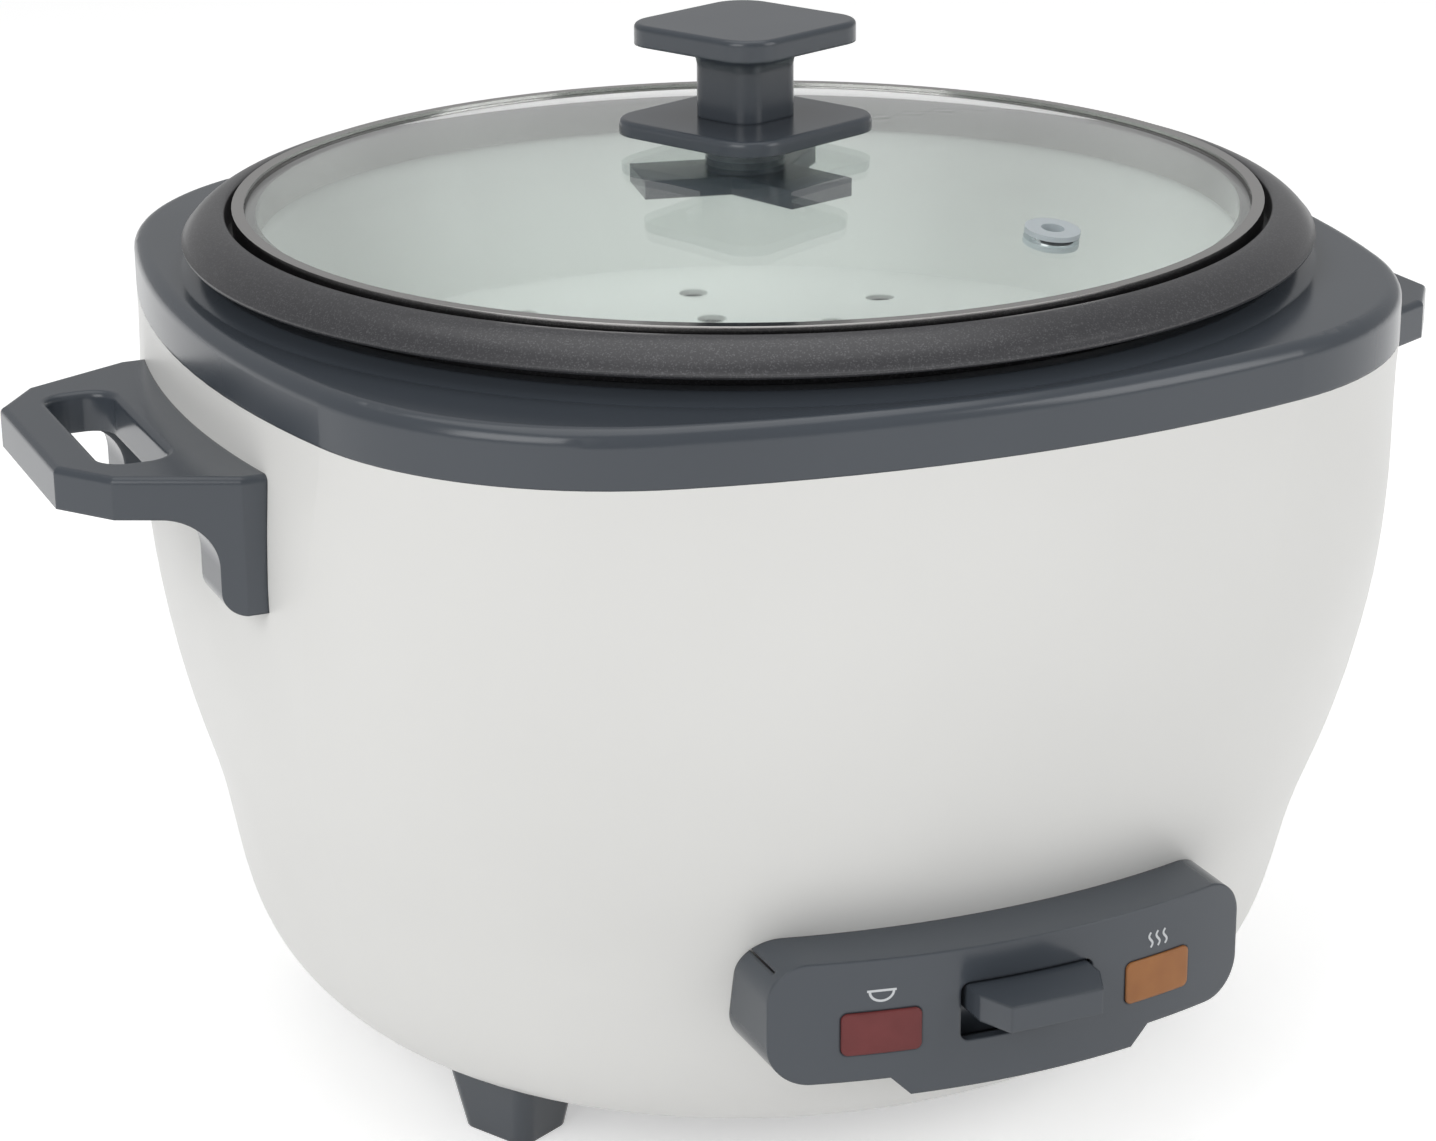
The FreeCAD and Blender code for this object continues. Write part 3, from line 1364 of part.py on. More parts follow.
# Leads, laid under the liner: inlet to switch, switch to element, inlet to fuse, fuse to element

lead_z = base_top.value + size.lead_level.value
pin_back = Vector(size.inlet_pin_step.value, inlet_back_y.value, pin_z.value)
left_pin = Vector(-pin_back.x, pin_back.y, pin_back.z)
switch_side = Vector(size.switch_half_wide.value, switch_y.value, (switch_z.value + switch_top.value) / 2)
fuse_end = Vector(size.fuse_length.value / 2, fuse_y.value, fuse_z.value)
terminal_low = element_z.value - size.terminal_length.value
right_terminal = Vector(terminal_spots[1][0].value, terminal_spots[1][1].value, terminal_low)
left_terminal = Vector(terminal_spots[0][0].value, terminal_spots[0][1].value, terminal_low)
lead_r = size.lead_r.value
lead("lead_inlet_to_switch", [
    left_pin,
    left_pin + Vector(0, -9, 0),
    Vector(-26, 72, lead_z),
    Vector(-46, 30, lead_z),
    Vector(-46, -30, lead_z),
    Vector(-34, -70, lead_z),
    Vector(-20, switch_side.y, switch_side.z),
    Vector(-switch_side.x, switch_side.y, switch_side.z),
], lead_r)
lead("lead_switch_to_element", [
    switch_side,
    Vector(20, switch_side.y, switch_side.z),
    Vector(38, -62, lead_z),
    Vector(50, -20, lead_z),
    Vector(46, 26, lead_z),
    Vector(right_terminal.x, right_terminal.y, lead_z + 4),
    right_terminal,
], lead_r)
lead("lead_inlet_to_fuse", [
    pin_back,
    pin_back + Vector(0, -8, 0),
    Vector(18, 84, fuse_z.value - 2),
    Vector(14, fuse_end.y, fuse_end.z),
    fuse_end,
], lead_r)
lead("lead_fuse_to_element", [
    Vector(-fuse_end.x, fuse_end.y, fuse_end.z),
    Vector(-16, fuse_end.y, fuse_end.z),
    Vector(-24, 76, lead_z + 6),
    Vector(left_terminal.x, left_terminal.y, lead_z + 4),
    left_terminal,
], lead_r)


# Cooking pot: deep bowl with a stepped seat for the basket and lid and a flared rim

pot_outer_base_r = pot_base_r + size.pot_wall
inner_corner_r = size.pot_corner_r - size.pot_wall
cooking_pot = new_body("cooking_pot")
revolve(cooking_pot, "pot_bowl", [
    (0.0, pot_z),
    (pot_outer_base_r - size.pot_corner_r, pot_z, size.pot_corner_r),
    (pot_outer_base_r, pot_z + size.pot_corner_r),
    (size.pot_mouth_r + size.pot_wall, ledge_z - size.pot_wall),
    (pot_top_r, ledge_z - size.pot_wall),
    (pot_top_r, rim_z + size.pot_rim_height / 2),
    (pot_rim_r - size.pot_wall, rim_z),
    (pot_rim_r, rim_z),
    (pot_top_r, rim_top),
    (pot_recess_r, rim_top),
    (pot_recess_r, ledge_z),
    (size.pot_mouth_r, ledge_z),
    (pot_base_r, pot_z + size.pot_corner_r, inner_corner_r, True),
    (pot_base_r - inner_corner_r, pot_z + size.pot_wall),
    (0.0, pot_z + size.pot_wall),
])
keep("cooking_pot", cooking_pot)


# Steamer basket: rim on the pot's seat, sloped wall, floor with three rings of holes

steamer_basket = new_body("steamer_basket")
revolve(steamer_basket, "basket_bowl", [
    (0.0, basket_z),
    (basket_floor_r + size.basket_wall, basket_z),
    (basket_mouth_r + size.basket_wall, basket_rim_z),
    (pot_recess_r - size.basket_rim_gap, basket_rim_z),
    (pot_recess_r - size.basket_rim_gap, basket_top),
    (basket_mouth_r, basket_top),
    (basket_floor_r, basket_z + size.basket_wall),
    (0.0, basket_z + size.basket_wall),
])
for name, ring_r in (("outer", size.basket_outer_ring), ("inner", size.basket_inner_ring),
                     ("core", size.basket_core_ring)):
    drain = new_sketch(steamer_basket, f"{name}_hole", "XY_Plane", basket_z)
    hole_x = ring_r * cosine(size.basket_hole_angle)
    hole_y = ring_r * sine(size.basket_hole_angle)
    add_circle(drain, hole_x, hole_y, size.basket_hole_r)
    drain_cut = pocket(steamer_basket, f"{name}_hole_cut", drain, size.basket_wall, reverse=True)
    count = BASKET_HOLES // 2 if name == "core" else BASKET_HOLES
    ring_of(steamer_basket, f"{name}_holes", drain_cut, count)
keep("steamer_basket", steamer_basket)


# Lid: domed glass in a steel band, turned a little about the pot, with its vent, knob and hand nut

def turn_lid(piece):
    piece.Placement = Placement(Vector(), Rotation(Vector(0, 0, 1), size.lid_turn.value))
    bind(piece, "Placement.Rotation.Angle", size.lid_turn)


lid_glass = new_body("lid_glass")
revolve(lid_glass, "glass_dome", [
    (0.0, glass_z + size.glass_rise, dome_sphere_r, True),
    (dome_r, glass_z),
    (glass_r, glass_z),
    (glass_r, glass_edge_top),
    (dome_r, glass_edge_top, dome_sphere_r),
    (0.0, crown_z),
])
glass_holes = new_sketch(lid_glass, "glass_holes", "XY_Plane", glass_z)
add_circle(glass_holes, 0.0, 0.0, size.stud_r + size.stud_play)
add_circle(glass_holes, 0.0, -size.vent_ring, size.vent_sleeve_r + size.slide_gap)
pocket(lid_glass, "glass_hole_cut", glass_holes, size.glass_rise + size.glass_thick, reverse=True)
turn_lid(lid_glass)
keep("lid_glass", lid_glass)

skirt_outer_r = glass_r - size.band_shelf
skirt_r = skirt_outer_r - size.band_wall
lid_rim_band = new_body("lid_rim_band")
revolve(lid_rim_band, "band_channel", [
    (skirt_r, band_z - size.band_skirt),
    (skirt_outer_r, band_z - size.band_skirt),
    (skirt_outer_r, band_z),
    (band_r, band_z),
    (band_r, band_top),
    (dome_r, band_top),
    (dome_r, band_top - size.band_wall),
    (band_r - size.band_wall, band_top - size.band_wall),
    (band_r - size.band_wall, band_z + size.band_wall),
    (skirt_r, band_z + size.band_wall),
])
turn_lid(lid_rim_band)
keep("lid_rim_band", lid_rim_band)

vent_slope = Dim(f"asin({(size.vent_ring / dome_sphere_r).formula})",
                 math.degrees(math.asin((size.vent_ring / dome_sphere_r).value)))
vent_drop = dome_sphere_r - root(dome_sphere_r * dome_sphere_r - size.vent_ring * size.vent_ring)
vent_z = crown_z - vent_drop
vent_half = size.glass_thick / 2 + size.fit_gap
vent_grommet = new_body("vent_grommet")
revolve(vent_grommet, "grommet_spool", [
    (size.vent_bore_r, -vent_half - size.vent_flange),
    (size.vent_flange_r, -vent_half - size.vent_flange),
    (size.vent_flange_r, -vent_half),
    (size.vent_sleeve_r, -vent_half),
    (size.vent_sleeve_r, vent_half),
    (size.vent_flange_r, vent_half),
    (size.vent_flange_r, vent_half + size.vent_flange),
    (size.vent_bore_r, vent_half + size.vent_flange),
])
vent_turn = Rotation(Vector(0, 0, 1), size.lid_turn.value)
vent_tilt = Rotation(Vector(1, 0, 0), vent_slope.value)
vent_at = Vector(0, -size.vent_ring.value, vent_z.value - size.glass_thick.value / 2)
vent_grommet.Placement = Placement(vent_turn.multVec(vent_at), vent_turn.multiply(vent_tilt))
keep("vent_grommet", vent_grommet)

knob_washer = new_body("knob_washer")
washer_ring = new_sketch(knob_washer, "washer_ring", "XY_Plane", crown_z)
add_circle(washer_ring, 0.0, 0.0, size.washer_r)
add_circle(washer_ring, 0.0, 0.0, size.stud_r)
pad(knob_washer, "washer_pad", washer_ring, size.washer_thick)
keep("knob_washer", knob_washer)

knob_base_plate = new_body("knob_base_plate")
base_square = new_sketch(knob_base_plate, "knob_base_square", "XY_Plane", knob_base_z)
rounded_rectangle(base_square, as_dim(0.0), as_dim(0.0), size.knob_base_half, size.knob_base_half,
                  size.knob_base_round)
add_circle(base_square, 0.0, 0.0, size.stud_r)
pad(knob_base_plate, "knob_base_pad", base_square, size.knob_base_thick)
fillet(knob_base_plate, "knob_base_rounding",
       lambda edge: at_height(neck_z)(edge) and edge.BoundBox.Center.Length > neck_z.value + 1.0,
       size.knob_edge)
turn_lid(knob_base_plate)
keep("knob_base_plate", knob_base_plate)

lid_knob = new_body("lid_knob")
neck_square = new_sketch(lid_knob, "knob_neck_square", "XY_Plane", neck_z)
rounded_rectangle(neck_square, as_dim(0.0), as_dim(0.0), size.knob_neck_half, size.knob_neck_half,
                  size.knob_neck_round)
pad(lid_knob, "knob_neck", neck_square, size.knob_neck_height)
plate_square = new_sketch(lid_knob, "knob_plate_square", "XY_Plane", knob_plate_z)
rounded_rectangle(plate_square, as_dim(0.0), as_dim(0.0), size.knob_plate_half, size.knob_plate_half,
                  size.knob_plate_round)
pad(lid_knob, "knob_plate", plate_square, size.knob_plate_thick)
neck_reach = (size.knob_neck_half + size.knob_plate_half) / 2
fillet(lid_knob, "knob_flare",
       lambda edge: at_height(knob_plate_z)(edge) and edge.BoundBox.XMax < neck_reach.value
       and edge.BoundBox.YMax < neck_reach.value and edge.BoundBox.XMin > -neck_reach.value
       and edge.BoundBox.YMin > -neck_reach.value, size.knob_flare)
fillet(lid_knob, "knob_edge", at_height(knob_top), size.knob_edge)
stud_bite = size.knob_neck_height - size.stud_r
stud_bore = new_sketch(lid_knob, "knob_bore", "XY_Plane", neck_z)
add_circle(stud_bore, 0.0, 0.0, size.stud_r)
pocket(lid_knob, "knob_bore_cut", stud_bore, stud_bite, reverse=True)
turn_lid(lid_knob)
keep("lid_knob", lid_knob)

knob_nut = new_body("knob_nut")
boss = new_sketch(knob_nut, "nut_boss", "XY_Plane", nut_z)
add_circle(boss, 0.0, 0.0, size.washer_r)
pad(knob_nut, "nut_boss_pad", boss, size.nut_boss_height + size.nut_lobe_thick)
lobe = new_sketch(knob_nut, "nut_lobe", "XY_Plane", nut_z)
rectangle(lobe, 0.0, size.nut_reach, -size.nut_lobe_half, size.nut_lobe_half)
lobe_pad = pad(knob_nut, "nut_lobe_pad", lobe, size.nut_lobe_thick)
ring_of(knob_nut, "nut_lobes", lobe_pad, 3)
nut_bore = new_sketch(knob_nut, "nut_bore", "XY_Plane", nut_z)
add_circle(nut_bore, 0.0, 0.0, size.stud_r)
pocket(knob_nut, "nut_bore_cut", nut_bore, size.nut_boss_height + size.nut_lobe_thick, reverse=True)
nut_turn = size.lid_turn + size.nut_turn
knob_nut.Placement = Placement(Vector(), Rotation(Vector(0, 0, 1), nut_turn.value))
bind(knob_nut, "Placement.Rotation.Angle", nut_turn)
keep("knob_nut", knob_nut)

keep("knob_stud", cylinder("knob_stud", size.stud_r, neck_z + stud_bite - nut_z, (0.0, 0.0, nut_z),
                           Vector(0, 0, 1)))


# Checks every object, then writes one file for each sub-part

doc.recompute()
failed = [item.Label for item in doc.Objects if {"Invalid", "Error"} & set(item.State)]
if failed:
    raise RuntimeError(f"failed objects: {failed}")
for label, item in nodes.items():
    if item.Shape.isNull() or not item.Shape.isValid() or not item.Shape.Solids:
        raise RuntimeError(f"{label} has no valid solid")

os.makedirs("parts", exist_ok=True)
for label, item in nodes.items():
    item.Shape.exportStep(f"parts/{label}.step")
    print(f"{label}: {len(item.Shape.Solids)} solid, {item.Shape.Volume:.1f} cubic mm")
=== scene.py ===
import json
import math

import bmesh
import bpy
import numpy
from mathutils import Matrix, Vector
from mathutils.bvhtree import BVHTree


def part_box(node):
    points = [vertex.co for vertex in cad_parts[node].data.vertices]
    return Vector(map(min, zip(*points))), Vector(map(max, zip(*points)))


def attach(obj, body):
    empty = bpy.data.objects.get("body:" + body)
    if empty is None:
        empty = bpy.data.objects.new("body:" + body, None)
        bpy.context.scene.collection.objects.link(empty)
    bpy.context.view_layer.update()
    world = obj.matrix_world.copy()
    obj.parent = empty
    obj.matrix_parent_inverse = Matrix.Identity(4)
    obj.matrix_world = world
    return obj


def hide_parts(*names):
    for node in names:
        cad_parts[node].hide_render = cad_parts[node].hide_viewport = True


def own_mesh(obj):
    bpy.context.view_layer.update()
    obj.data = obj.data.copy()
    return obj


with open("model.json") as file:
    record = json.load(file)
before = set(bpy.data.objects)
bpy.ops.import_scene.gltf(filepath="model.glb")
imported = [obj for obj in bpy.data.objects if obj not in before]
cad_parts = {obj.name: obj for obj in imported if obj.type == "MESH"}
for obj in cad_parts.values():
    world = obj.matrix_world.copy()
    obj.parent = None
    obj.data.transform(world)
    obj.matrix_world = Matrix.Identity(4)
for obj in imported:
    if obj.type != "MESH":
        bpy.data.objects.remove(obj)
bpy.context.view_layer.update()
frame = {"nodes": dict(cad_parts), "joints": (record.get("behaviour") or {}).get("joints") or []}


# Outer shell: a deep bowl, rounded square at the top and nearly round at the foot, moulded in warm white.
# Its satin skin shows a very fine grain and faint unevenness. The collar closes it and the base plate is
# screwed into its floor opening.
def group_socket(group, name, way, kind, value=None):
    """Adds a named input or output to a node group."""
    socket = group.interface.new_socket(name=name, in_out=way, socket_type=kind)
    if value is not None:
        socket.default_value = value


def moulded_skin_group():
    """Fine grain and slow unevenness of a moulded face: a height for bumps and a slow mask for tone."""
    group = bpy.data.node_groups.new("moulded_skin", "ShaderNodeTree")
    group_socket(group, "Position", "INPUT", "NodeSocketVector")
    group_socket(group, "Grain Scale", "INPUT", "NodeSocketFloat", 1200.0)
    group_socket(group, "Grain Share", "INPUT", "NodeSocketFloat", 0.5)
    group_socket(group, "Sway Scale", "INPUT", "NodeSocketFloat", 14.0)
    group_socket(group, "Height", "OUTPUT", "NodeSocketFloat")
    group_socket(group, "Sway", "OUTPUT", "NodeSocketFloat")
    enter = group.nodes.new("NodeGroupInput")
    leave = group.nodes.new("NodeGroupOutput")
    grain = group.nodes.new("ShaderNodeTexNoise")
    grain.inputs["Detail"].default_value = 3.0
    sway = group.nodes.new("ShaderNodeTexNoise")
    sway.inputs["Detail"].default_value = 2.0
    blend = group.nodes.new("ShaderNodeMix")
    group.links.new(enter.outputs["Position"], grain.inputs["Vector"])
    group.links.new(enter.outputs["Grain Scale"], grain.inputs["Scale"])
    group.links.new(enter.outputs["Position"], sway.inputs["Vector"])
    group.links.new(enter.outputs["Sway Scale"], sway.inputs["Scale"])
    group.links.new(enter.outputs["Grain Share"], blend.inputs["Factor"])
    group.links.new(sway.outputs["Fac"], blend.inputs["A"])
    group.links.new(grain.outputs["Fac"], blend.inputs["B"])
    group.links.new(blend.outputs["Result"], leave.inputs["Height"])
    group.links.new(sway.outputs["Fac"], leave.inputs["Sway"])
    return group


moulded_skin = moulded_skin_group()


def blank_material(name, colour, roughness):
    """Material with one shader and its place on the piece, ready for patterns."""
    material = bpy.data.materials.new(name)
    material.use_nodes = True
    shader = material.node_tree.nodes["Principled BSDF"]
    shader.inputs["Base Color"].default_value = (*colour, 1.0)
    shader.inputs["Roughness"].default_value = roughness
    place = material.node_tree.nodes.new("ShaderNodeTexCoord")
    return material, shader, place.outputs["Object"]


def spread(tree, source, low, high):
    """Value that runs from low to high as the source runs over the middle of its range."""
    node = tree.nodes.new("ShaderNodeMapRange")
    node.inputs["From Min"].default_value = 0.3
    node.inputs["From Max"].default_value = 0.7
    node.inputs["To Min"].default_value = low
    node.inputs["To Max"].default_value = high
    tree.links.new(source, node.inputs["Value"])
    return node.outputs["Result"]


def tint(tree, source, first, second):
    """Colour that goes from the first to the second with the source."""
    node = tree.nodes.new("ShaderNodeMix")
    node.data_type = "RGBA"
    node.inputs["A"].default_value = (*first, 1.0)
    node.inputs["B"].default_value = (*second, 1.0)
    tree.links.new(source, node.inputs["Factor"])
    return node.outputs["Result"]


EDGE_SAMPLES = 6


def relief(tree, shader, height, depth, strength, edge=0.0):
    """Bump of a real depth in metres on a shader, over edges rounded by a real radius."""
    node = tree.nodes.new("ShaderNodeBump")
    node.inputs["Distance"].default_value = depth
    node.inputs["Strength"].default_value = strength
    tree.links.new(height, node.inputs["Height"])
    tree.links.new(node.outputs["Normal"], shader.inputs["Normal"])
    if edge:
        rounding = tree.nodes.new("ShaderNodeBevel")
        rounding.samples = EDGE_SAMPLES
        rounding.inputs["Radius"].default_value = edge
        tree.links.new(rounding.outputs["Normal"], node.inputs["Normal"])


MOULDED_BUMP = 0.35


def moulded(name, colour, roughness, grain=1200.0, grain_share=0.5, depth=0.00003, tone=0.04,
            edge=0.0, clear=0.0):
    """Moulded plastic or rubber: its grain, its slow change of tone and of gloss, and how clear it is."""
    material, shader, place = blank_material(name, colour, roughness)
    tree = material.node_tree
    skin = tree.nodes.new("ShaderNodeGroup")
    skin.node_tree = moulded_skin
    skin.inputs["Grain Scale"].default_value = grain
    skin.inputs["Grain Share"].default_value = grain_share
    tree.links.new(place, skin.inputs["Position"])
    darker = [value * (1.0 - tone) for value in colour]
    slow = spread(tree, skin.outputs["Sway"], low=0.0, high=1.0)
    tree.links.new(tint(tree, slow, colour, darker), shader.inputs["Base Color"])
    gloss = spread(tree, skin.outputs["Sway"], low=roughness * 0.9, high=roughness * 1.12)
    tree.links.new(gloss, shader.inputs["Roughness"])
    relief(tree, shader, skin.outputs["Height"], depth, MOULDED_BUMP, edge)
    shader.inputs["Transmission Weight"].default_value = clear
    return material


def finish(node, material):
    """Gives a carried-over piece its material."""
    mesh = frame["nodes"][node].data
    mesh.materials.clear()
    mesh.materials.append(material)


warm_white = moulded("warm_white_shell", (0.800, 0.798, 0.778), roughness=0.38, grain=1500.0, tone=0.02)
finish("outer_body", warm_white)


# Top collar: a glossy slate-grey ring that caps the shell, its top rising a little to the pot's opening.
# It is injection moulded, with a near vertical side and a rounded edge, and pushed into the shell.
SLATE = (0.060, 0.070, 0.084)
SLATE_EDGE = 0.0009
slate = moulded("slate_plastic", SLATE, roughness=0.20, grain=900.0, grain_share=0.35, depth=0.00002,
                tone=0.10, edge=SLATE_EDGE)
finish("top_collar", slate)


# Base plate and feet: a black moulded bottom cover with air slots, and four tapered slate feet that are
# shaped to the shell's underside and held by screws.
matt_black = moulded("matt_black_plastic", (0.022, 0.022, 0.024), roughness=0.55, grain=1800.0,
                     depth=0.00006)
finish("base_plate", matt_black)
for foot in ("foot_front_left", "foot_front_right", "foot_rear_left", "foot_rear_right"):
    finish(foot, slate)


# Foot screws: zinc-plated pan heads with a cross recess, sunk into the soles. Each is turned up through its
# foot into the base plate.
def brushed_lines_group():
    """Fine drawn lines of rolled or turned metal round the upright axis."""
    group = bpy.data.node_groups.new("brushed_lines", "ShaderNodeTree")
    group_socket(group, "Position", "INPUT", "NodeSocketVector")
    group_socket(group, "Line Scale", "INPUT", "NodeSocketFloat", 4000.0)
    group_socket(group, "Height", "OUTPUT", "NodeSocketFloat")
    group_socket(group, "Patch", "OUTPUT", "NodeSocketFloat")
    enter = group.nodes.new("NodeGroupInput")
    leave = group.nodes.new("NodeGroupOutput")
    parts = group.nodes.new("ShaderNodeSeparateXYZ")
    flat = group.nodes.new("ShaderNodeCombineXYZ")
    radius = group.nodes.new("ShaderNodeVectorMath")
    radius.operation = "LENGTH"
    across = group.nodes.new("ShaderNodeCombineXYZ")
    lines = group.nodes.new("ShaderNodeTexNoise")
    lines.inputs["Detail"].default_value = 2.0
    patch = group.nodes.new("ShaderNodeTexNoise")
    patch.inputs["Scale"].default_value = 40.0
    group.links.new(enter.outputs["Position"], parts.inputs["Vector"])
    group.links.new(parts.outputs["X"], flat.inputs["X"])
    group.links.new(parts.outputs["Y"], flat.inputs["Y"])
    group.links.new(flat.outputs["Vector"], radius.inputs[0])
    group.links.new(radius.outputs["Value"], across.inputs["X"])
    group.links.new(parts.outputs["Z"], across.inputs["Y"])
    group.links.new(across.outputs["Vector"], lines.inputs["Vector"])
    group.links.new(enter.outputs["Line Scale"], lines.inputs["Scale"])
    group.links.new(enter.outputs["Position"], patch.inputs["Vector"])
    group.links.new(lines.outputs["Fac"], leave.inputs["Height"])
    group.links.new(patch.outputs["Fac"], leave.inputs["Patch"])
    return group


brushed_lines = brushed_lines_group()
METAL_BUMP = 0.25


def metal(name, colour, roughness, lines=4000.0, depth=0.00001):
    """Bare or plated metal with fine lines and slightly uneven gloss."""
    material, shader, place = blank_material(name, colour, roughness)
    tree = material.node_tree
    shader.inputs["Metallic"].default_value = 1.0
    drawn = tree.nodes.new("ShaderNodeGroup")
    drawn.node_tree = brushed_lines
    drawn.inputs["Line Scale"].default_value = lines
    tree.links.new(place, drawn.inputs["Position"])
    gloss = spread(tree, drawn.outputs["Patch"], low=roughness * 0.8, high=roughness * 1.2)
    tree.links.new(gloss, shader.inputs["Roughness"])
    duller = [value * 0.9 for value in colour]
    tree.links.new(tint(tree, drawn.outputs["Height"], colour, duller), shader.inputs["Base Color"])
    relief(tree, shader, drawn.outputs["Height"], depth, METAL_BUMP)
    return material


zinc_plate = metal("zinc_plated_steel", (0.60, 0.61, 0.62), roughness=0.32)
HEAD_HEIGHT = 0.0024
HEAD_SIDES = 32
SHANK_SIDES = 20
SCREW_SIZES = (
    ("Head Radius", 0.004),
    ("Head Height", HEAD_HEIGHT),
    ("Shank Radius", 0.0015),
    ("Shank Length", 0.013),
    ("Recess Span", 0.0046),
    ("Recess Slot", 0.0010),
    ("Recess Depth", 0.0014),
)


def screw_tree():
    """Screws on points: head, shank and cross recess with named sizes, as one real mesh."""
    tree = bpy.data.node_groups.new("pan_head_screws", "GeometryNodeTree")
    group_socket(tree, "Geometry", "INPUT", "NodeSocketGeometry")
    for size_name, size_value in SCREW_SIZES:
        group_socket(tree, size_name, "INPUT", "NodeSocketFloat", size_value)
    group_socket(tree, "Finish", "INPUT", "NodeSocketMaterial")
    group_socket(tree, "Geometry", "OUTPUT", "NodeSocketGeometry")
    enter = tree.nodes.new("NodeGroupInput")
    leave = tree.nodes.new("NodeGroupOutput")

    def scaled(socket, share):
        node = tree.nodes.new("ShaderNodeMath")
        node.operation = "MULTIPLY"
        node.inputs[1].default_value = share
        tree.links.new(socket, node.inputs[0])
        return node.outputs["Value"]

    def moved(geometry, height):
        place = tree.nodes.new("ShaderNodeCombineXYZ")
        tree.links.new(height, place.inputs["Z"])
        node = tree.nodes.new("GeometryNodeTransform")
        tree.links.new(geometry, node.inputs["Geometry"])
        tree.links.new(place.outputs["Vector"], node.inputs["Translation"])
        return node.outputs["Geometry"]

    def round_bar(radius, length, sides):
        node = tree.nodes.new("GeometryNodeMeshCylinder")
        node.inputs["Vertices"].default_value = sides
        tree.links.new(radius, node.inputs["Radius"])
        tree.links.new(length, node.inputs["Depth"])
        return node.outputs["Mesh"]

    def slot_block(across, along):
        span = tree.nodes.new("ShaderNodeCombineXYZ")
        tree.links.new(across, span.inputs["X"])
        tree.links.new(along, span.inputs["Y"])
        tree.links.new(scaled(enter.outputs["Recess Depth"], share=2.0), span.inputs["Z"])
        node = tree.nodes.new("GeometryNodeMeshCube")
        tree.links.new(span.outputs["Vector"], node.inputs["Size"])
        return node.outputs["Mesh"]

    head = moved(round_bar(enter.outputs["Head Radius"], enter.outputs["Head Height"], HEAD_SIDES),
                 scaled(enter.outputs["Head Height"], share=0.5))
    shank_middle = tree.nodes.new("ShaderNodeMath")
    shank_middle.operation = "ADD"
    tree.links.new(scaled(enter.outputs["Shank Length"], share=0.5), shank_middle.inputs[0])
    tree.links.new(enter.outputs["Head Height"], shank_middle.inputs[1])
    shank = moved(round_bar(enter.outputs["Shank Radius"], enter.outputs["Shank Length"], SHANK_SIDES),
                  shank_middle.outputs["Value"])
    carved = tree.nodes.new("GeometryNodeMeshBoolean")
    carved.operation = "DIFFERENCE"
    tree.links.new(head, carved.inputs["Mesh 1"])
    for across, along in (("Recess Span", "Recess Slot"), ("Recess Slot", "Recess Span")):
        slot = slot_block(enter.outputs[across], enter.outputs[along])
        tree.links.new(slot, carved.inputs["Mesh 2"])
    whole = tree.nodes.new("GeometryNodeJoinGeometry")
    tree.links.new(carved.outputs["Mesh"], whole.inputs["Geometry"])
    tree.links.new(shank, whole.inputs["Geometry"])
    scatter = tree.nodes.new("GeometryNodeInstanceOnPoints")
    tree.links.new(enter.outputs["Geometry"], scatter.inputs["Points"])
    tree.links.new(whole.outputs["Geometry"], scatter.inputs["Instance"])
    real = tree.nodes.new("GeometryNodeRealizeInstances")
    tree.links.new(scatter.outputs["Instances"], real.inputs["Geometry"])
    coat = tree.nodes.new("GeometryNodeSetMaterial")
    tree.links.new(real.outputs["Geometry"], coat.inputs["Geometry"])
    tree.links.new(enter.outputs["Finish"], coat.inputs["Material"])
    tree.links.new(coat.outputs["Geometry"], leave.inputs["Geometry"])
    return tree


def set_input(modifier, name, value):
    """Sets a tree's input by its socket's identifier."""
    for item in modifier.node_group.interface.items_tree:
        if item.item_type == "SOCKET" and item.in_out == "INPUT" and item.name == name:
            modifier[item.identifier] = value


def node_points(node):
    """Corner points of a carried-over piece, as rows of x, y and z."""
    mesh = frame["nodes"][node].data
    points = numpy.zeros(len(mesh.vertices) * 3)
    mesh.vertices.foreach_get("co", points)
    return points.reshape(-1, 3)


screw_points = node_points("foot_screws")
screw_low = screw_points[:, 2].min()
screw_seats = []
for side_x in (-1, 1):
    for side_y in (-1, 1):
        mine = screw_points[(screw_points[:, 0] * side_x > 0) & (screw_points[:, 1] * side_y > 0)]
        middle_point = (mine.min(axis=0) + mine.max(axis=0)) / 2
        screw_seats.append((middle_point[0], middle_point[1], screw_low))
seat_mesh = bpy.data.meshes.new("foot_screws_cross")
seat_mesh.from_pydata(screw_seats, [], [])
screw_maker = bpy.data.objects.new("foot_screw_maker", seat_mesh)
bpy.context.collection.objects.link(screw_maker)
screw_modifier = screw_maker.modifiers.new("screws", "NODES")
screw_modifier.node_group = screw_tree()
set_input(screw_modifier, "Shank Length", float(screw_points[:, 2].max() - screw_low) - HEAD_HEIGHT)
set_input(screw_modifier, "Finish", zinc_plate)
bpy.context.view_layer.update()
screw_result = screw_maker.evaluated_get(bpy.context.evaluated_depsgraph_get())
screw_mesh = bpy.data.meshes.new_from_object(screw_result)
bpy.data.objects.remove(screw_maker)
foot_screw_set = bpy.data.objects.new("foot_screw_set", screw_mesh)
bpy.context.collection.objects.link(foot_screw_set)
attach(foot_screw_set, "base")
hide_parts("foot_screws")


# Side handles: slate mouldings with a finger gap, on legs that follow the shell's side. Screws from inside
# the shell hold them.
finish("left_handle", slate)
finish("right_handle", slate)
finish("handle_screws", zinc_plate)


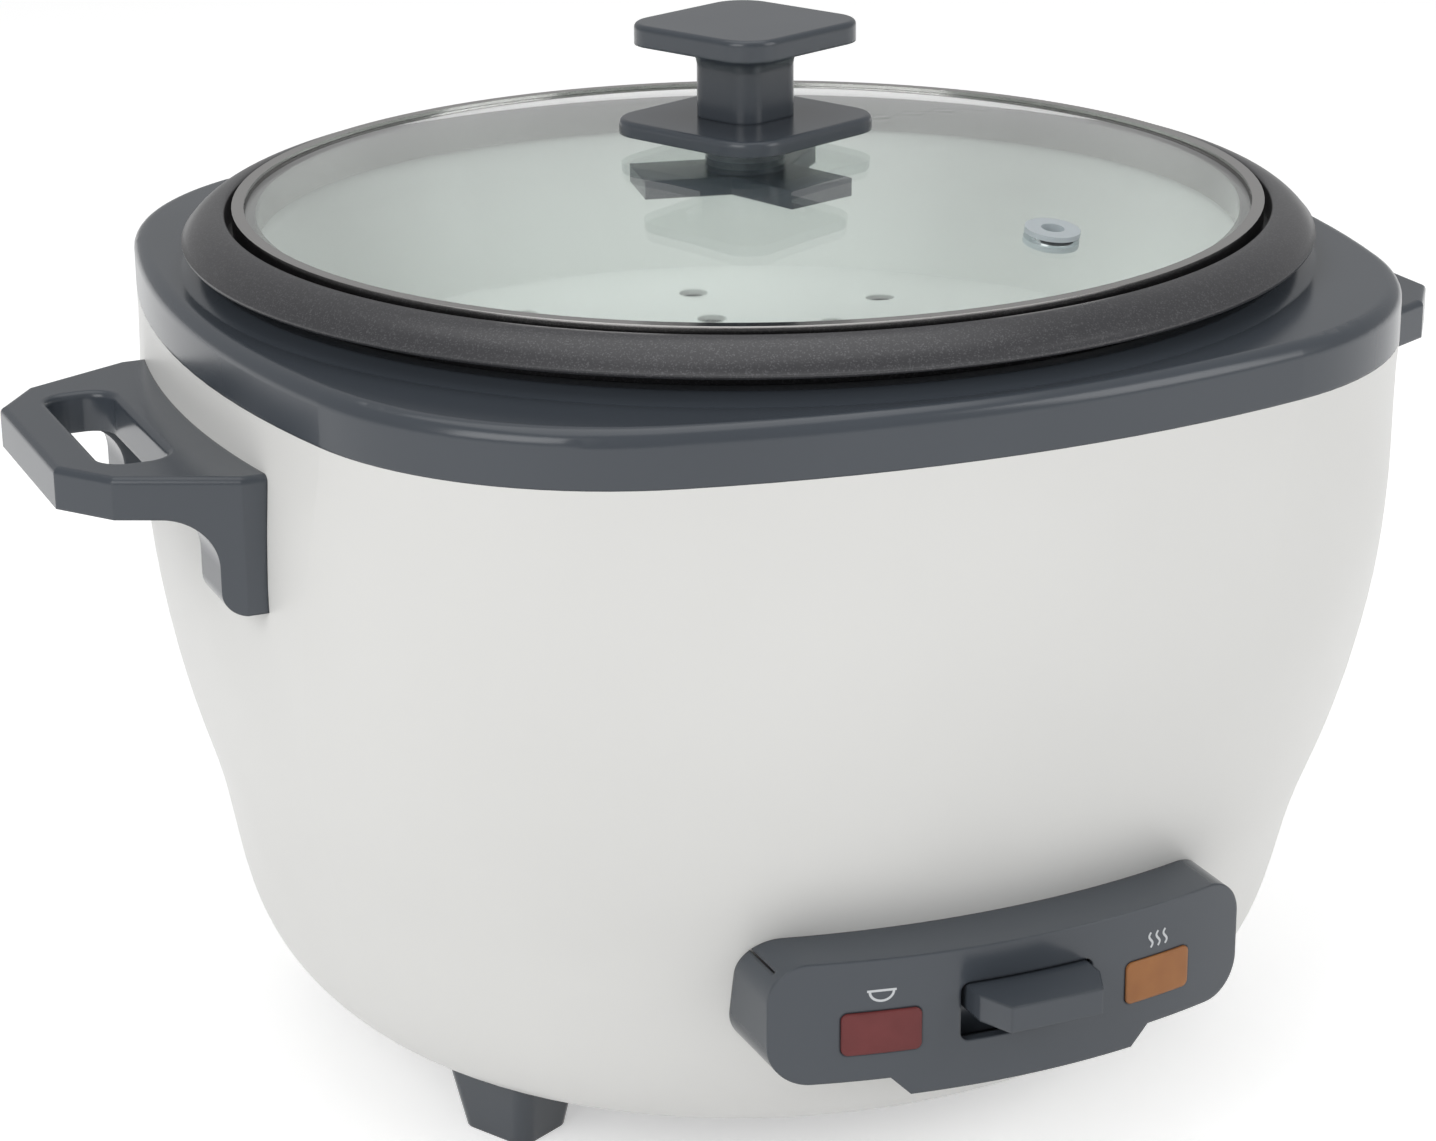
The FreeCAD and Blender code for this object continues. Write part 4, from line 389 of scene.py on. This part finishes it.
# Heating well: a drawn steel liner with an aluminium heating plate at its bottom, the sheathed heating ring
# cast under the plate, and a mica band round the liner that keeps the pot warm.
finish("inner_liner", zinc_plate)
bare_aluminium = metal("bare_aluminium", (0.70, 0.70, 0.70), roughness=0.38, lines=2600.0)
finish("heating_plate", bare_aluminium)
finish("plate_spacers", zinc_plate)
finish("plate_screws", zinc_plate)
finish("heating_element", zinc_plate)
mica = moulded("mica_band", (0.50, 0.42, 0.30), roughness=0.55, grain=300.0, depth=0.0001, tone=0.25)
finish("keep_warm_heater", mica)
sleeve_white = moulded("white_sleeve", (0.72, 0.70, 0.62), roughness=0.6, grain=2500.0, depth=0.00008)
finish("thermal_fuse", sleeve_white)


# Heat sensor and switch works: a sprung aluminium cap with a ferrite under it, the magnet on its rod, the
# sheet-steel lever on its pin, and the microswitch that it presses.
finish("sensor_cap", bare_aluminium)
ferrite = moulded("dark_ferrite", (0.030, 0.030, 0.033), roughness=0.5, grain=2200.0, depth=0.00008)
finish("sensor_ferrite", ferrite)
finish("switch_magnet", ferrite)
for steel_piece in ("sensor_housing", "magnet_rod", "lever_arm", "lever_bracket", "lever_pivot_pin",
                    "switch_bracket"):
    finish(steel_piece, zinc_plate)
finish("microswitch", matt_black)
button_red = moulded("button_red", (0.40, 0.05, 0.04), roughness=0.45)
finish("microswitch_button", button_red)


# Springs: wound wire, one under the sensor's cap and one that pushes the magnet away from it. Each is
# copied as one joined mesh and carried with the base at one fixed length.
MERGE_DISTANCE = 1e-7


def coil_of(node):
    """Copy of a carried-over spring as one joined mesh."""
    form = bmesh.new()
    form.from_mesh(frame["nodes"][node].data)
    bmesh.ops.remove_doubles(form, verts=form.verts, dist=MERGE_DISTANCE)
    mesh = bpy.data.meshes.new(node + "_coil")
    form.to_mesh(mesh)
    form.free()
    mesh.materials.clear()
    mesh.materials.append(zinc_plate)
    coil = bpy.data.objects.new(node + "_coil", mesh)
    bpy.context.collection.objects.link(coil)
    return coil


for joint in frame["joints"]:
    for wound in joint.get("deforming_nodes", []):
        coil = coil_of(wound["node"])
        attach(coil, "base")
        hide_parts(wound["node"])
        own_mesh(coil)


# Control panel: a slate pod on the shell's front with two lamp windows, a printed mark over each, and the
# lever's slot. It is injection moulded, and screws from inside hold it.
finish("control_panel", slate)
finish("panel_screws", zinc_plate)
finish("lever_paddle", slate)
panel_tree = BVHTree.FromObject(frame["nodes"]["control_panel"], bpy.context.evaluated_depsgraph_get())
PRINT_THICK = 0.00004
IN_FRONT = -0.30


def on_panel(x, z):
    """Point of the panel's bowed face in front of x and z, raised by the ink's thickness."""
    hit = panel_tree.ray_cast(Vector((x, IN_FRONT, z)), Vector((0.0, 1.0, 0.0)))[0]
    return Vector((x, hit.y - PRINT_THICK, z))


def printed_mark(name, strokes, width, ink):
    """Pale ink lines on the panel: each stroke is a row of points in the panel's plane."""
    corners = []
    faces = []
    for stroke in strokes:
        first = len(corners)
        for number, spot in enumerate(stroke):
            before = Vector(stroke[max(number - 1, 0)])
            after = Vector(stroke[min(number + 1, len(stroke) - 1)])
            along = (after - before).normalized()
            across = Vector((-along.y, along.x)) * width / 2
            for side in (1, -1):
                corners.append(on_panel(spot[0] + across.x * side, spot[1] + across.y * side))
            if number:
                last = first + number * 2
                faces.append((last - 2, last - 1, last + 1, last))
    mesh = bpy.data.meshes.new(name)
    mesh.from_pydata(corners, [], faces)
    mesh.materials.append(ink)
    piece = bpy.data.objects.new(name, mesh)
    bpy.context.collection.objects.link(piece)
    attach(piece, "base")


pale_ink = moulded("pale_ink", (0.62, 0.64, 0.66), roughness=0.5, grain=3000.0, tone=0.06)
cook_low, cook_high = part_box("cook_lens")
warm_low, warm_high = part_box("warm_lens")
MARK_GAP = 0.0022
MARK_LINE = 0.00055
BOWL_HALF = 0.0026
BOWL_DEPTH = 0.0022
BOWL_RIM_HALF = 0.0032
BOWL_TOP = 0.0024
BOWL_RIM_TOP = 0.0026
BOWL_STEPS = 14
STEAM_PITCH = 0.0020
STEAM_SWAY = 0.0005
STEAM_HEIGHT = 0.0036
STEAM_STEPS = 16
cook_x = (cook_low.x + cook_high.x) / 2
warm_x = (warm_low.x + warm_high.x) / 2
mark_z = cook_high.z + MARK_GAP
bowl_turns = [math.pi * (1.0 + step / BOWL_STEPS) for step in range(BOWL_STEPS + 1)]
bowl = [(cook_x + BOWL_HALF * math.cos(turn), mark_z + BOWL_TOP + BOWL_DEPTH * math.sin(turn))
        for turn in bowl_turns]
bowl_rim = [(cook_x + BOWL_RIM_HALF * side, mark_z + BOWL_RIM_TOP) for side in (-1, 1)]
printed_mark("cook_mark", [bowl, bowl_rim], MARK_LINE, pale_ink)
steam = []
waves = [step / STEAM_STEPS for step in range(STEAM_STEPS + 1)]
for column in (-STEAM_PITCH, 0.0, STEAM_PITCH):
    steam.append([(warm_x + column + STEAM_SWAY * math.sin(wave * 2 * math.pi),
                   mark_z + STEAM_HEIGHT * wave)
                  for wave in waves])
printed_mark("warm_mark", steam, MARK_LINE, pale_ink)


LENS_EDGE = 0.0008
LENS_ROUGHNESS = 0.22
LENS_GLOSS = 0.3


def lamp_lens(name, colour, deep):
    """Tinted plastic with a soft edge, deeper in tone in places."""
    material, shader, place = blank_material(name, colour, LENS_ROUGHNESS)
    tree = material.node_tree
    skin = tree.nodes.new("ShaderNodeGroup")
    skin.node_tree = moulded_skin
    skin.inputs["Grain Scale"].default_value = 1400.0
    skin.inputs["Sway Scale"].default_value = 120.0
    tree.links.new(place, skin.inputs["Position"])
    slow = spread(tree, skin.outputs["Sway"], low=0.0, high=1.0)
    tree.links.new(tint(tree, slow, colour, deep), shader.inputs["Base Color"])
    relief(tree, shader, skin.outputs["Height"], depth=0.00004, strength=0.3, edge=LENS_EDGE)
    shader.inputs["Specular IOR Level"].default_value = LENS_GLOSS
    return material


finish("cook_lens", lamp_lens("cook_lens_red", (0.170, 0.034, 0.034), (0.130, 0.024, 0.024)))
finish("warm_lens", lamp_lens("warm_lens_amber", (0.36, 0.145, 0.042), (0.30, 0.115, 0.034)))
lamp_glass = moulded("lamp_glass", (0.75, 0.62, 0.50), roughness=0.12, tone=0.05)
finish("cook_lamp", lamp_glass)
finish("warm_lamp", lamp_glass)


# Power inlet: a black socket in the shell's rear with three brass pins, and the sleeved leads from it to
# the switch, the fuse and the heating ring.
finish("power_inlet", matt_black)
brass = metal("contact_brass", (0.70, 0.55, 0.28), roughness=0.25)
finish("inlet_pins", brass)
for wire in ("lead_inlet_to_switch", "lead_switch_to_element",
             "lead_inlet_to_fuse", "lead_fuse_to_element"):
    finish(wire, sleeve_white)


# Cooking pot: pressed aluminium with a graphite non-stick coat full of fine metal flecks. Its rim is spun
# over to a crowned flange with a rolled lip, and a step inside the mouth carries the basket.
GRAPHITE = (0.040, 0.040, 0.044)
FLECK = (0.26, 0.26, 0.27)
FLECK_SCALE = 3600.0


def pot_coat():
    """Graphite coat: the brightest of its fine cells are bare metal flecks."""
    material, shader, place = blank_material("graphite_coat", GRAPHITE, roughness=0.30)
    tree = material.node_tree
    flecks = tree.nodes.new("ShaderNodeTexVoronoi")
    flecks.inputs["Scale"].default_value = FLECK_SCALE
    tree.links.new(place, flecks.inputs["Vector"])
    fleck_tone = tree.nodes.new("ShaderNodeSeparateColor")
    tree.links.new(flecks.outputs["Color"], fleck_tone.inputs["Color"])
    bright = tree.nodes.new("ShaderNodeMapRange")
    bright.inputs["From Min"].default_value = 0.72
    bright.inputs["From Max"].default_value = 1.0
    bright.inputs["To Max"].default_value = 0.30
    tree.links.new(fleck_tone.outputs["Red"], bright.inputs["Value"])
    colour = tint(tree, bright.outputs["Result"], GRAPHITE, FLECK)
    tree.links.new(colour, shader.inputs["Base Color"])
    tree.links.new(bright.outputs["Result"], shader.inputs["Metallic"])
    skin = tree.nodes.new("ShaderNodeGroup")
    skin.node_tree = moulded_skin
    skin.inputs["Grain Scale"].default_value = 1600.0
    tree.links.new(place, skin.inputs["Position"])
    gloss = spread(tree, skin.outputs["Sway"], low=0.27, high=0.34)
    tree.links.new(gloss, shader.inputs["Roughness"])
    relief(tree, shader, skin.outputs["Height"], depth=0.00005, strength=0.4)
    return material


def arc_points(centre, radius, start, end, steps):
    """Points of an arc in the profile's plane, from one angle to another in degrees."""
    angles = [math.radians(start + (end - start) * step / steps) for step in range(steps + 1)]
    return [(centre[0] + radius * math.cos(angle), centre[1] + radius * math.sin(angle))
            for angle in angles]


POT_TURNS = 192
CREASE = math.radians(38)


def spun(name, profile, turns):
    """Body of revolution about the upright axis, from its middle inside to its middle outside."""
    form = bmesh.new()
    rings = []
    for radius, height in profile:
        count = turns if radius > 0.0 else 1
        angles = [2 * math.pi * step / turns for step in range(count)]
        rings.append([form.verts.new((radius * math.cos(angle), radius * math.sin(angle), height))
                      for angle in angles])
    for ring, following in zip(rings, rings[1:]):
        for step in range(turns):
            onward = (step + 1) % turns
            corners = (ring[step % len(ring)], ring[onward % len(ring)],
                       following[onward % len(following)], following[step % len(following)])
            form.faces.new(list(dict.fromkeys(corners))).smooth = True
    bmesh.ops.recalc_face_normals(form, faces=form.faces)
    mesh = bpy.data.meshes.new(name)
    form.to_mesh(mesh)
    form.free()
    mesh.set_sharp_from_angle(angle=CREASE)
    return mesh


POT_WALL = 0.0018
POT_FLARE = 0.0086
POT_LEDGE = 0.0026
POT_TAPER = 0.014
POT_CORNER = 0.026
POT_RECESS = 0.0066
RIM_HEIGHT = 0.007
RIM_CROWN = 0.0011
LIP_ROLL = 0.0008
FLANGE_STEPS = 12
pot_low, pot_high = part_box("cooking_pot")
pot_floor = pot_low.z
rim_top = pot_high.z
rim_z = rim_top - RIM_HEIGHT
top_r = pot_high.x - POT_FLARE
recess_r = top_r - POT_WALL
mouth_r = recess_r - POT_LEDGE
base_r = mouth_r - POT_TAPER
ledge_z = rim_top - POT_RECESS
inner_corner = POT_CORNER - POT_WALL
corner_z = pot_floor + POT_CORNER
pot_profile = [(0.0, pot_floor + POT_WALL)]
pot_profile += arc_points((base_r - inner_corner, corner_z), inner_corner, start=-90, end=0, steps=10)
pot_profile += arc_points((mouth_r + LIP_ROLL, ledge_z - LIP_ROLL), LIP_ROLL, start=180, end=90, steps=4)
pot_profile.append((recess_r, ledge_z))
pot_profile += arc_points((recess_r + LIP_ROLL, rim_top - LIP_ROLL), LIP_ROLL, start=180, end=90, steps=4)
flange_start = Vector((recess_r + LIP_ROLL * 1.2, rim_top))
flange_end = Vector((pot_high.x - LIP_ROLL * 0.4, rim_z + LIP_ROLL * 1.6))
flange_run = flange_end - flange_start
flange_out = Vector((-flange_run.y, flange_run.x)).normalized()
for step in range(1, FLANGE_STEPS + 1):
    share = step / FLANGE_STEPS
    spot = flange_start + flange_run * share + flange_out * RIM_CROWN * 4 * share * (1 - share)
    pot_profile.append((spot.x, min(spot.y, rim_top)))
pot_profile += arc_points((pot_high.x - LIP_ROLL, rim_z + LIP_ROLL), LIP_ROLL, start=20, end=-130, steps=6)
pot_profile.append((top_r, rim_z + RIM_HEIGHT / 2))
pot_profile.append((top_r, ledge_z - POT_WALL))
pot_profile.append((mouth_r + POT_WALL, ledge_z - POT_WALL))
outer_middle = (base_r + POT_WALL - POT_CORNER, corner_z)
pot_profile += arc_points(outer_middle, POT_CORNER, start=0, end=-90, steps=10)
pot_profile.append((0.0, pot_floor))
pot_mesh = spun("spun_pot", pot_profile, POT_TURNS)
pot_mesh.materials.append(pot_coat())
spun_pot = bpy.data.objects.new("spun_pot", pot_mesh)
bpy.context.collection.objects.link(spun_pot)
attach(spun_pot, "pot")
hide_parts("cooking_pot")


# Steamer basket: a pale perforated tray of satin plastic, moulded in one piece. Its rim hangs on the step
# inside the pot's mouth, under the lid.
pale_plastic = moulded("pale_basket", (0.74, 0.755, 0.735), roughness=0.42, grain=1300.0, tone=0.03)
finish("steamer_basket", pale_plastic)


# Lid: a clear domed glass in a polished steel band, with a steam eyelet, and a slate knob clamped through
# it by a stud, a silicone washer and a three-lobed nut.
GLASS_IOR = 1.46
GLASS_SHADOW = (0.93, 0.96, 0.95, 1.0)


def lid_glass_material():
    """Clear glass with faint smears, which lets plain light through for shadows."""
    material, shader, place = blank_material("lid_glass", (0.955, 0.985, 0.975), roughness=0.0)
    tree = material.node_tree
    shader.inputs["Transmission Weight"].default_value = 1.0
    shader.inputs["IOR"].default_value = GLASS_IOR
    smears = tree.nodes.new("ShaderNodeGroup")
    smears.node_tree = moulded_skin
    smears.inputs["Grain Scale"].default_value = 60.0
    smears.inputs["Sway Scale"].default_value = 9.0
    tree.links.new(place, smears.inputs["Position"])
    gloss = spread(tree, smears.outputs["Height"], low=0.005, high=0.03)
    tree.links.new(gloss, shader.inputs["Roughness"])
    through = tree.nodes.new("ShaderNodeBsdfTransparent")
    through.inputs["Color"].default_value = GLASS_SHADOW
    path = tree.nodes.new("ShaderNodeLightPath")
    mix = tree.nodes.new("ShaderNodeMixShader")
    tree.links.new(path.outputs["Is Shadow Ray"], mix.inputs["Fac"])
    tree.links.new(shader.outputs["BSDF"], mix.inputs[1])
    tree.links.new(through.outputs["BSDF"], mix.inputs[2])
    tree.links.new(mix.outputs["Shader"], tree.nodes["Material Output"].inputs["Surface"])
    return material


finish("lid_glass", lid_glass_material())
polished_steel = metal("polished_steel", (0.50, 0.49, 0.48), roughness=0.13, lines=5000.0)
finish("lid_rim_band", polished_steel)
pale_silicone = moulded("pale_silicone", (0.62, 0.68, 0.71), roughness=0.35, grain=1500.0, clear=0.25)
finish("vent_grommet", pale_silicone)
finish("knob_washer", pale_silicone)
finish("lid_knob", slate)
finish("knob_base_plate", slate)
finish("knob_nut", slate)
finish("knob_stud", zinc_plate)


# Studio: a pale floor, soft lamps at both sides and overhead, and a camera at the photograph's angle. The
# floor glows a little where it is seen, so that it looks white and still shows the shadow.
FLOOR_GLOW = 0.45
WORLD_LEVEL = 0.42


def floor_material():
    """Matt pale floor with a glow that the camera sees directly, in gloss and through glass."""
    material, shader = blank_material("pale_floor", (0.88, 0.88, 0.88), roughness=0.9)[:2]
    tree = material.node_tree
    glow = tree.nodes.new("ShaderNodeEmission")
    path = tree.nodes.new("ShaderNodeLightPath")
    seen = tree.nodes.new("ShaderNodeMath")
    seen.operation = "MAXIMUM"
    seen_all = tree.nodes.new("ShaderNodeMath")
    seen_all.operation = "MAXIMUM"
    level = tree.nodes.new("ShaderNodeMath")
    level.operation = "MULTIPLY"
    level.inputs[1].default_value = FLOOR_GLOW
    add = tree.nodes.new("ShaderNodeAddShader")
    tree.links.new(path.outputs["Is Camera Ray"], seen.inputs[0])
    tree.links.new(path.outputs["Is Glossy Ray"], seen.inputs[1])
    tree.links.new(seen.outputs["Value"], seen_all.inputs[0])
    tree.links.new(path.outputs["Is Transmission Ray"], seen_all.inputs[1])
    tree.links.new(seen_all.outputs["Value"], level.inputs[0])
    tree.links.new(level.outputs["Value"], glow.inputs["Strength"])
    tree.links.new(shader.outputs["BSDF"], add.inputs[0])
    tree.links.new(glow.outputs["Emission"], add.inputs[1])
    tree.links.new(add.outputs["Shader"], tree.nodes["Material Output"].inputs["Surface"])
    return material


FLOOR_HALF = 6.0
floor_mesh = bpy.data.meshes.new("floor")
floor_corners = [(x, y, 0.0) for x, y in ((-1, -1), (1, -1), (1, 1), (-1, 1))]
floor_mesh.from_pydata([Vector(corner) * FLOOR_HALF for corner in floor_corners], [], [(0, 1, 2, 3)])
floor_mesh.materials.append(floor_material())
floor = bpy.data.objects.new("floor", floor_mesh)
bpy.context.collection.objects.link(floor)

world = bpy.data.worlds.new("studio_world")
world.use_nodes = True
bpy.context.scene.world = world
background = world.node_tree.nodes["Background"]
background.inputs["Color"].default_value = (1.0, 1.0, 1.0, 1.0)
background.inputs["Strength"].default_value = WORLD_LEVEL


def softbox(name, place, aim, wide, high, power):
    """Rectangular soft lamp that faces a point."""
    lamp = bpy.data.lights.new(name, "AREA")
    lamp.shape = "RECTANGLE"
    lamp.size = wide
    lamp.size_y = high
    lamp.energy = power
    holder = bpy.data.objects.new(name, lamp)
    bpy.context.collection.objects.link(holder)
    facing = (Vector(aim) - Vector(place)).to_track_quat("-Z", "Y")
    holder.matrix_world = Matrix.Translation(place) @ facing.to_matrix().to_4x4()


middle = (0.0, 0.0, 0.11)
softbox("left_softbox", (-1.5, -0.9, 1.1), middle, wide=1.2, high=1.2, power=14.0)
softbox("right_softbox", (1.3, -1.3, 1.0), middle, wide=1.0, high=1.2, power=9.5)
softbox("top_softbox", (0.0, 0.2, 1.8), middle, wide=1.6, high=1.6, power=9.0)

AZIMUTH = math.radians(-22.4)
ELEVATION = math.radians(19.5)
ROLL = math.radians(-0.864)
DISTANCE = 0.900
FRAME_WIDE = 1436
FOCUS_PIXELS = 3656.0
SENSOR_WIDE = 36.0
AIM = Vector((0.0, 0.0, 0.110))
AIM_RIGHT = 0.02483
AIM_UP = 0.00394
SHIFT_ACROSS = 0.0494
SHIFT_UP = -0.0022
backward = Vector((math.sin(AZIMUTH) * math.cos(ELEVATION), -math.cos(AZIMUTH) * math.cos(ELEVATION),
                   math.sin(ELEVATION)))
level_right = Vector((math.cos(AZIMUTH), math.sin(AZIMUTH), 0.0))
level_up = backward.cross(level_right)
right = level_right * math.cos(ROLL) + level_up * math.sin(ROLL)
upward = backward.cross(right)
eye = AIM - right * AIM_RIGHT + upward * AIM_UP + backward * DISTANCE
camera_data = bpy.data.cameras.new("photo_camera")
camera_data.sensor_width = SENSOR_WIDE
camera_data.lens = SENSOR_WIDE * FOCUS_PIXELS / FRAME_WIDE
camera_data.shift_x = SHIFT_ACROSS
camera_data.shift_y = SHIFT_UP
camera = bpy.data.objects.new("photo_camera", camera_data)
bpy.context.collection.objects.link(camera)
turn = Matrix((right, upward, backward)).transposed()
camera.matrix_world = Matrix.Translation(eye) @ turn.to_4x4()
bpy.context.scene.camera = camera
bpy.context.scene.view_settings.view_transform = "Standard"
